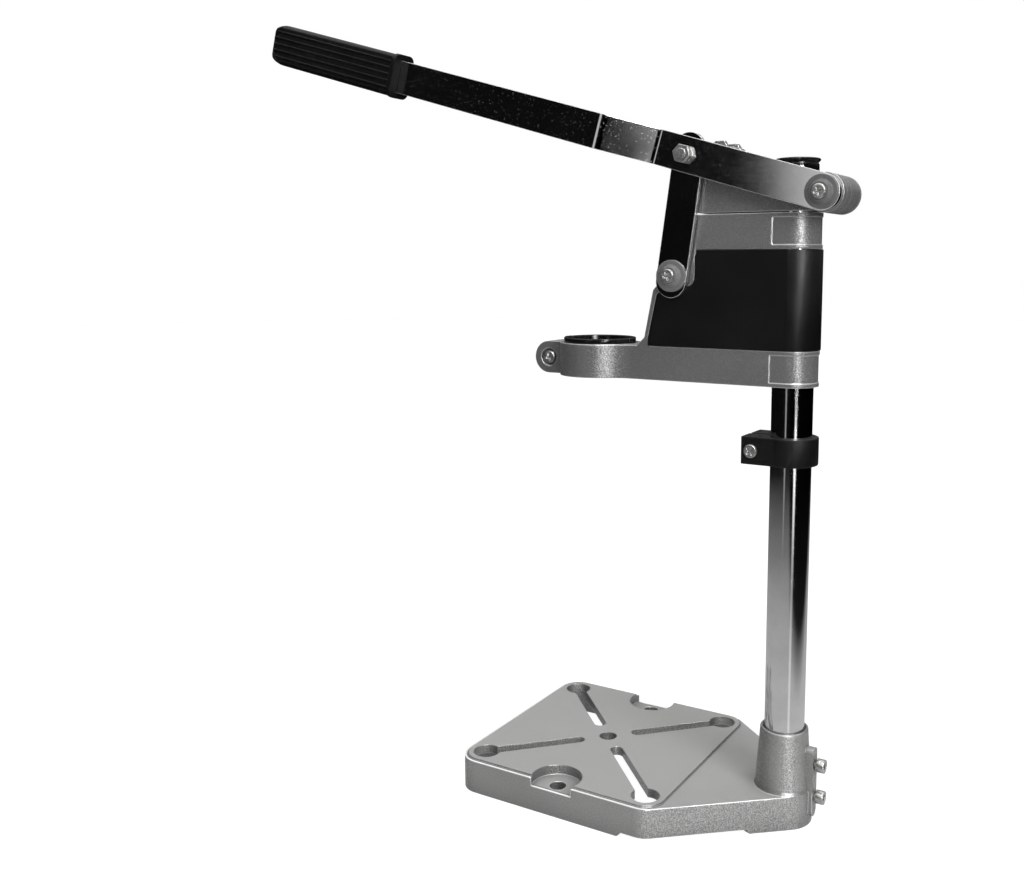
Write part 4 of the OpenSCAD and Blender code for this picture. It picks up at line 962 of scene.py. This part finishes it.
class DRILLSTAND_OT_stage(bpy.types.Operator):
    """Set up the floor, the lights, the white surroundings and the camera"""
    bl_idname = "drillstand.stage"
    bl_label = "Studio and camera"

    def execute(self, context):
        looks = chosen(context).studio
        scene = context.scene
        self.make_world(scene, looks)
        self.make_floor(scene, looks)
        self.make_lights(scene, looks)
        self.make_camera(scene, looks)
        scene.view_settings.view_transform = "Standard"
        return {"FINISHED"}

    def make_world(self, scene, looks):
        """Even light on the pieces, white to the camera, and a dark room with soft boxes in reflections."""
        world = bpy.data.worlds.new("Studio white")
        world.use_nodes = True
        tree = world.node_tree
        tree.nodes.clear()
        rays, seen = seen_or_through(tree)
        ways = axes(tree, tree.nodes.new("ShaderNodeTexCoord").outputs["Generated"])
        low = spread(tree, ways[2], *STRIP_LOW_SPAN, looks.strip_level, STRIP_DIM)
        high = spread(tree, ways[2], *STRIP_HIGH_SPAN, 0.0, looks.strip_level)
        strip = times(tree, soft_strip(tree, ways, looks.strip_turn, looks.strip_half, STRIP_SOFT),
                      maths(tree, "MAXIMUM", low, high))
        patch = times(tree, soft_strip(tree, ways, looks.patch_turn, PATCH_HALF, STRIP_SOFT),
                      looks.patch_level)
        above = spread(tree, ways[2], *TOP_SPAN, 0.0, looks.top_level)
        behind = times(tree, spread(tree, ways[1], *BACK_DEPTH_SPAN, 0.0, looks.back_level),
                       spread(tree, ways[2], *BACK_SPAN))
        room = maths(tree, "ADD", maths(tree, "MAXIMUM", strip, patch), maths(tree, "MAXIMUM", above, behind))
        room = maths(tree, "ADD", room, looks.room_level)
        ambient = white_light(tree, "ShaderNodeBackground", looks.world_strength)
        mirrored = white_light(tree, "ShaderNodeBackground", room)
        white = white_light(tree, "ShaderNodeBackground", 1.0)
        unseen = mix_shader(tree, rays.outputs["Is Glossy Ray"], ambient, mirrored)
        out = tree.nodes.new("ShaderNodeOutputWorld")
        tree.links.new(mix_shader(tree, seen, unseen, white).outputs[0], out.inputs[0])
        scene.world = world

    def floor_in_reflections(self, tree, looks):
        """Brightness of the floor in reflections: a near pool, and the strip and the patch lying on it."""
        where = tree.nodes.new("ShaderNodeTexCoord").outputs["Object"]
        at = axes(tree, where)
        away = vectors(tree, "LENGTH", where)
        near = spread(tree, away, *POOL_SPAN, looks.pool_level, looks.pool_level * POOL_FAR_SHARE)
        pool = times(tree, near, spread(tree, away, *POOL_END), spread(tree, at[0], *POOL_SIDE))
        line = times(tree, spread(tree, away, *FLOOR_STRIP),
                     soft_strip(tree, at, looks.strip_turn, looks.strip_half, STRIP_SOFT),
                     spread(tree, away, *FLOOR_STRIP_END))
        patch = times(tree, spread(tree, away, *FLOOR_PATCH),
                      soft_strip(tree, at, looks.patch_turn, FLOOR_PATCH_HALF, FLOOR_PATCH_SOFT))
        return maths(tree, "ADD", pool, maths(tree, "ADD", line, patch))

    def make_floor(self, scene, looks):
        """Pale floor that shows white to the camera and keeps a soft shadow."""
        build = bmesh.new()
        bmesh.ops.create_circle(build, cap_ends=True, segments=96, radius=looks.floor_radius)
        mesh = bpy.data.meshes.new("floor")
        build.to_mesh(mesh)
        build.free()
        floor = bpy.data.objects.new("floor", mesh)
        scene.collection.objects.link(floor)
        material = bpy.data.materials.new("Pale floor")
        material.use_nodes = True
        tree = material.node_tree
        shader = tree.nodes["Principled BSDF"]
        shader.inputs["Base Color"].default_value = grey(FLOOR_GREY)
        shader.inputs["Roughness"].default_value = FLOOR_ROUGHNESS
        rays, seen = seen_or_through(tree)
        white = white_light(tree, "ShaderNodeEmission", looks.floor_glow)
        mirrored = white_light(tree, "ShaderNodeEmission", self.floor_in_reflections(tree, looks))
        shown = mix_shader(tree, times(tree, seen, looks.floor_glow_share), shader, white)
        out = tree.nodes["Material Output"]
        tree.links.new(mix_shader(tree, rays.outputs["Is Glossy Ray"], shown, mirrored).outputs[0],
                       out.inputs["Surface"])
        mesh.materials.append(material)
        floor.location.z = -HAIR

    def make_lights(self, scene, looks):
        """Two large soft lamps that reflections leave out."""
        for name, place, size, power in (
                ("key", looks.key_place, looks.key_size, looks.key_power),
                ("overhead", looks.fill_place, looks.fill_size, looks.fill_power)):
            data = bpy.data.lights.new(name, "AREA")
            data.shape = "SQUARE"
            data.size = size
            data.energy = power
            lamp = bpy.data.objects.new(name, data)
            lamp.location = place
            aim = Vector(looks.lamp_aim) - Vector(place)
            lamp.rotation_euler = aim.to_track_quat("-Z", "Y").to_euler()
            lamp.visible_glossy = False
            scene.collection.objects.link(lamp)

    def make_camera(self, scene, looks):
        """Camera at the photograph's place."""
        data = bpy.data.cameras.new("camera")
        data.sensor_fit = "HORIZONTAL"
        data.sensor_width = SENSOR_WIDTH
        data.lens = looks.focal_pixels * SENSOR_WIDTH / IMAGE_SIDES[0]
        data.shift_x = (IMAGE_SIDES[0] / 2 - looks.middle_x) / IMAGE_SIDES[0]
        data.shift_y = (looks.middle_y - IMAGE_SIDES[1] / 2) / IMAGE_SIDES[0]
        data.clip_start = CLIP_START
        camera = bpy.data.objects.new("camera", data)
        camera.location = looks.camera_place
        camera.rotation_euler = (math.pi / 2 - looks.camera_pitch, 0.0, looks.camera_yaw)
        scene.collection.objects.link(camera)
        scene.camera = camera


class DRILLSTAND_PT_sidebar(bpy.types.Panel):
    """Settings and steps of the drill stand"""
    bl_idname = "DRILLSTAND_PT_sidebar"
    bl_label = "Drill Stand"
    bl_space_type = "VIEW_3D"
    bl_region_type = "UI"
    bl_category = "Drill Stand"

    def draw(self, context):
        settings = chosen(context)
        for group in (settings.castings, settings.bright, settings.plastics, settings.coil, settings.studio):
            box = self.layout.box()
            for name in group.__annotations__:
                box.prop(group, name)
        for operator in OPERATORS:
            self.layout.operator(operator.bl_idname)


OPERATORS = (DRILLSTAND_OT_castings, DRILLSTAND_OT_column, DRILLSTAND_OT_bars, DRILLSTAND_OT_mouldings,
             DRILLSTAND_OT_bushes, DRILLSTAND_OT_fasteners, DRILLSTAND_OT_grip, DRILLSTAND_OT_spring,
             DRILLSTAND_OT_stage)
CLASSES = (CastingLook, BrightLook, PlasticLook, CoilShape, StudioLook, DrillStandSettings, *OPERATORS,
           DRILLSTAND_PT_sidebar)


def register():
    """Register the settings, the steps and the panel."""
    for kind in CLASSES:
        bpy.utils.register_class(kind)
    bpy.types.Scene.drill_stand = bpy.props.PointerProperty(
        type=DrillStandSettings, name="Drill stand", description="Settings of the drill stand")


def unregister():
    """Take the settings, the steps and the panel away again."""
    del bpy.types.Scene.drill_stand
    for kind in reversed(CLASSES):
        bpy.utils.unregister_class(kind)


def main():
    """Build the pieces in order."""
    register()
    bpy.ops.drillstand.castings()
    bpy.ops.drillstand.column()
    bpy.ops.drillstand.bars()
    bpy.ops.drillstand.mouldings()
    bpy.ops.drillstand.bushes()
    bpy.ops.drillstand.fasteners()
    bpy.ops.drillstand.grip()
    bpy.ops.drillstand.spring()
    bpy.ops.drillstand.stage()


if __name__ == "__main__":
    main()
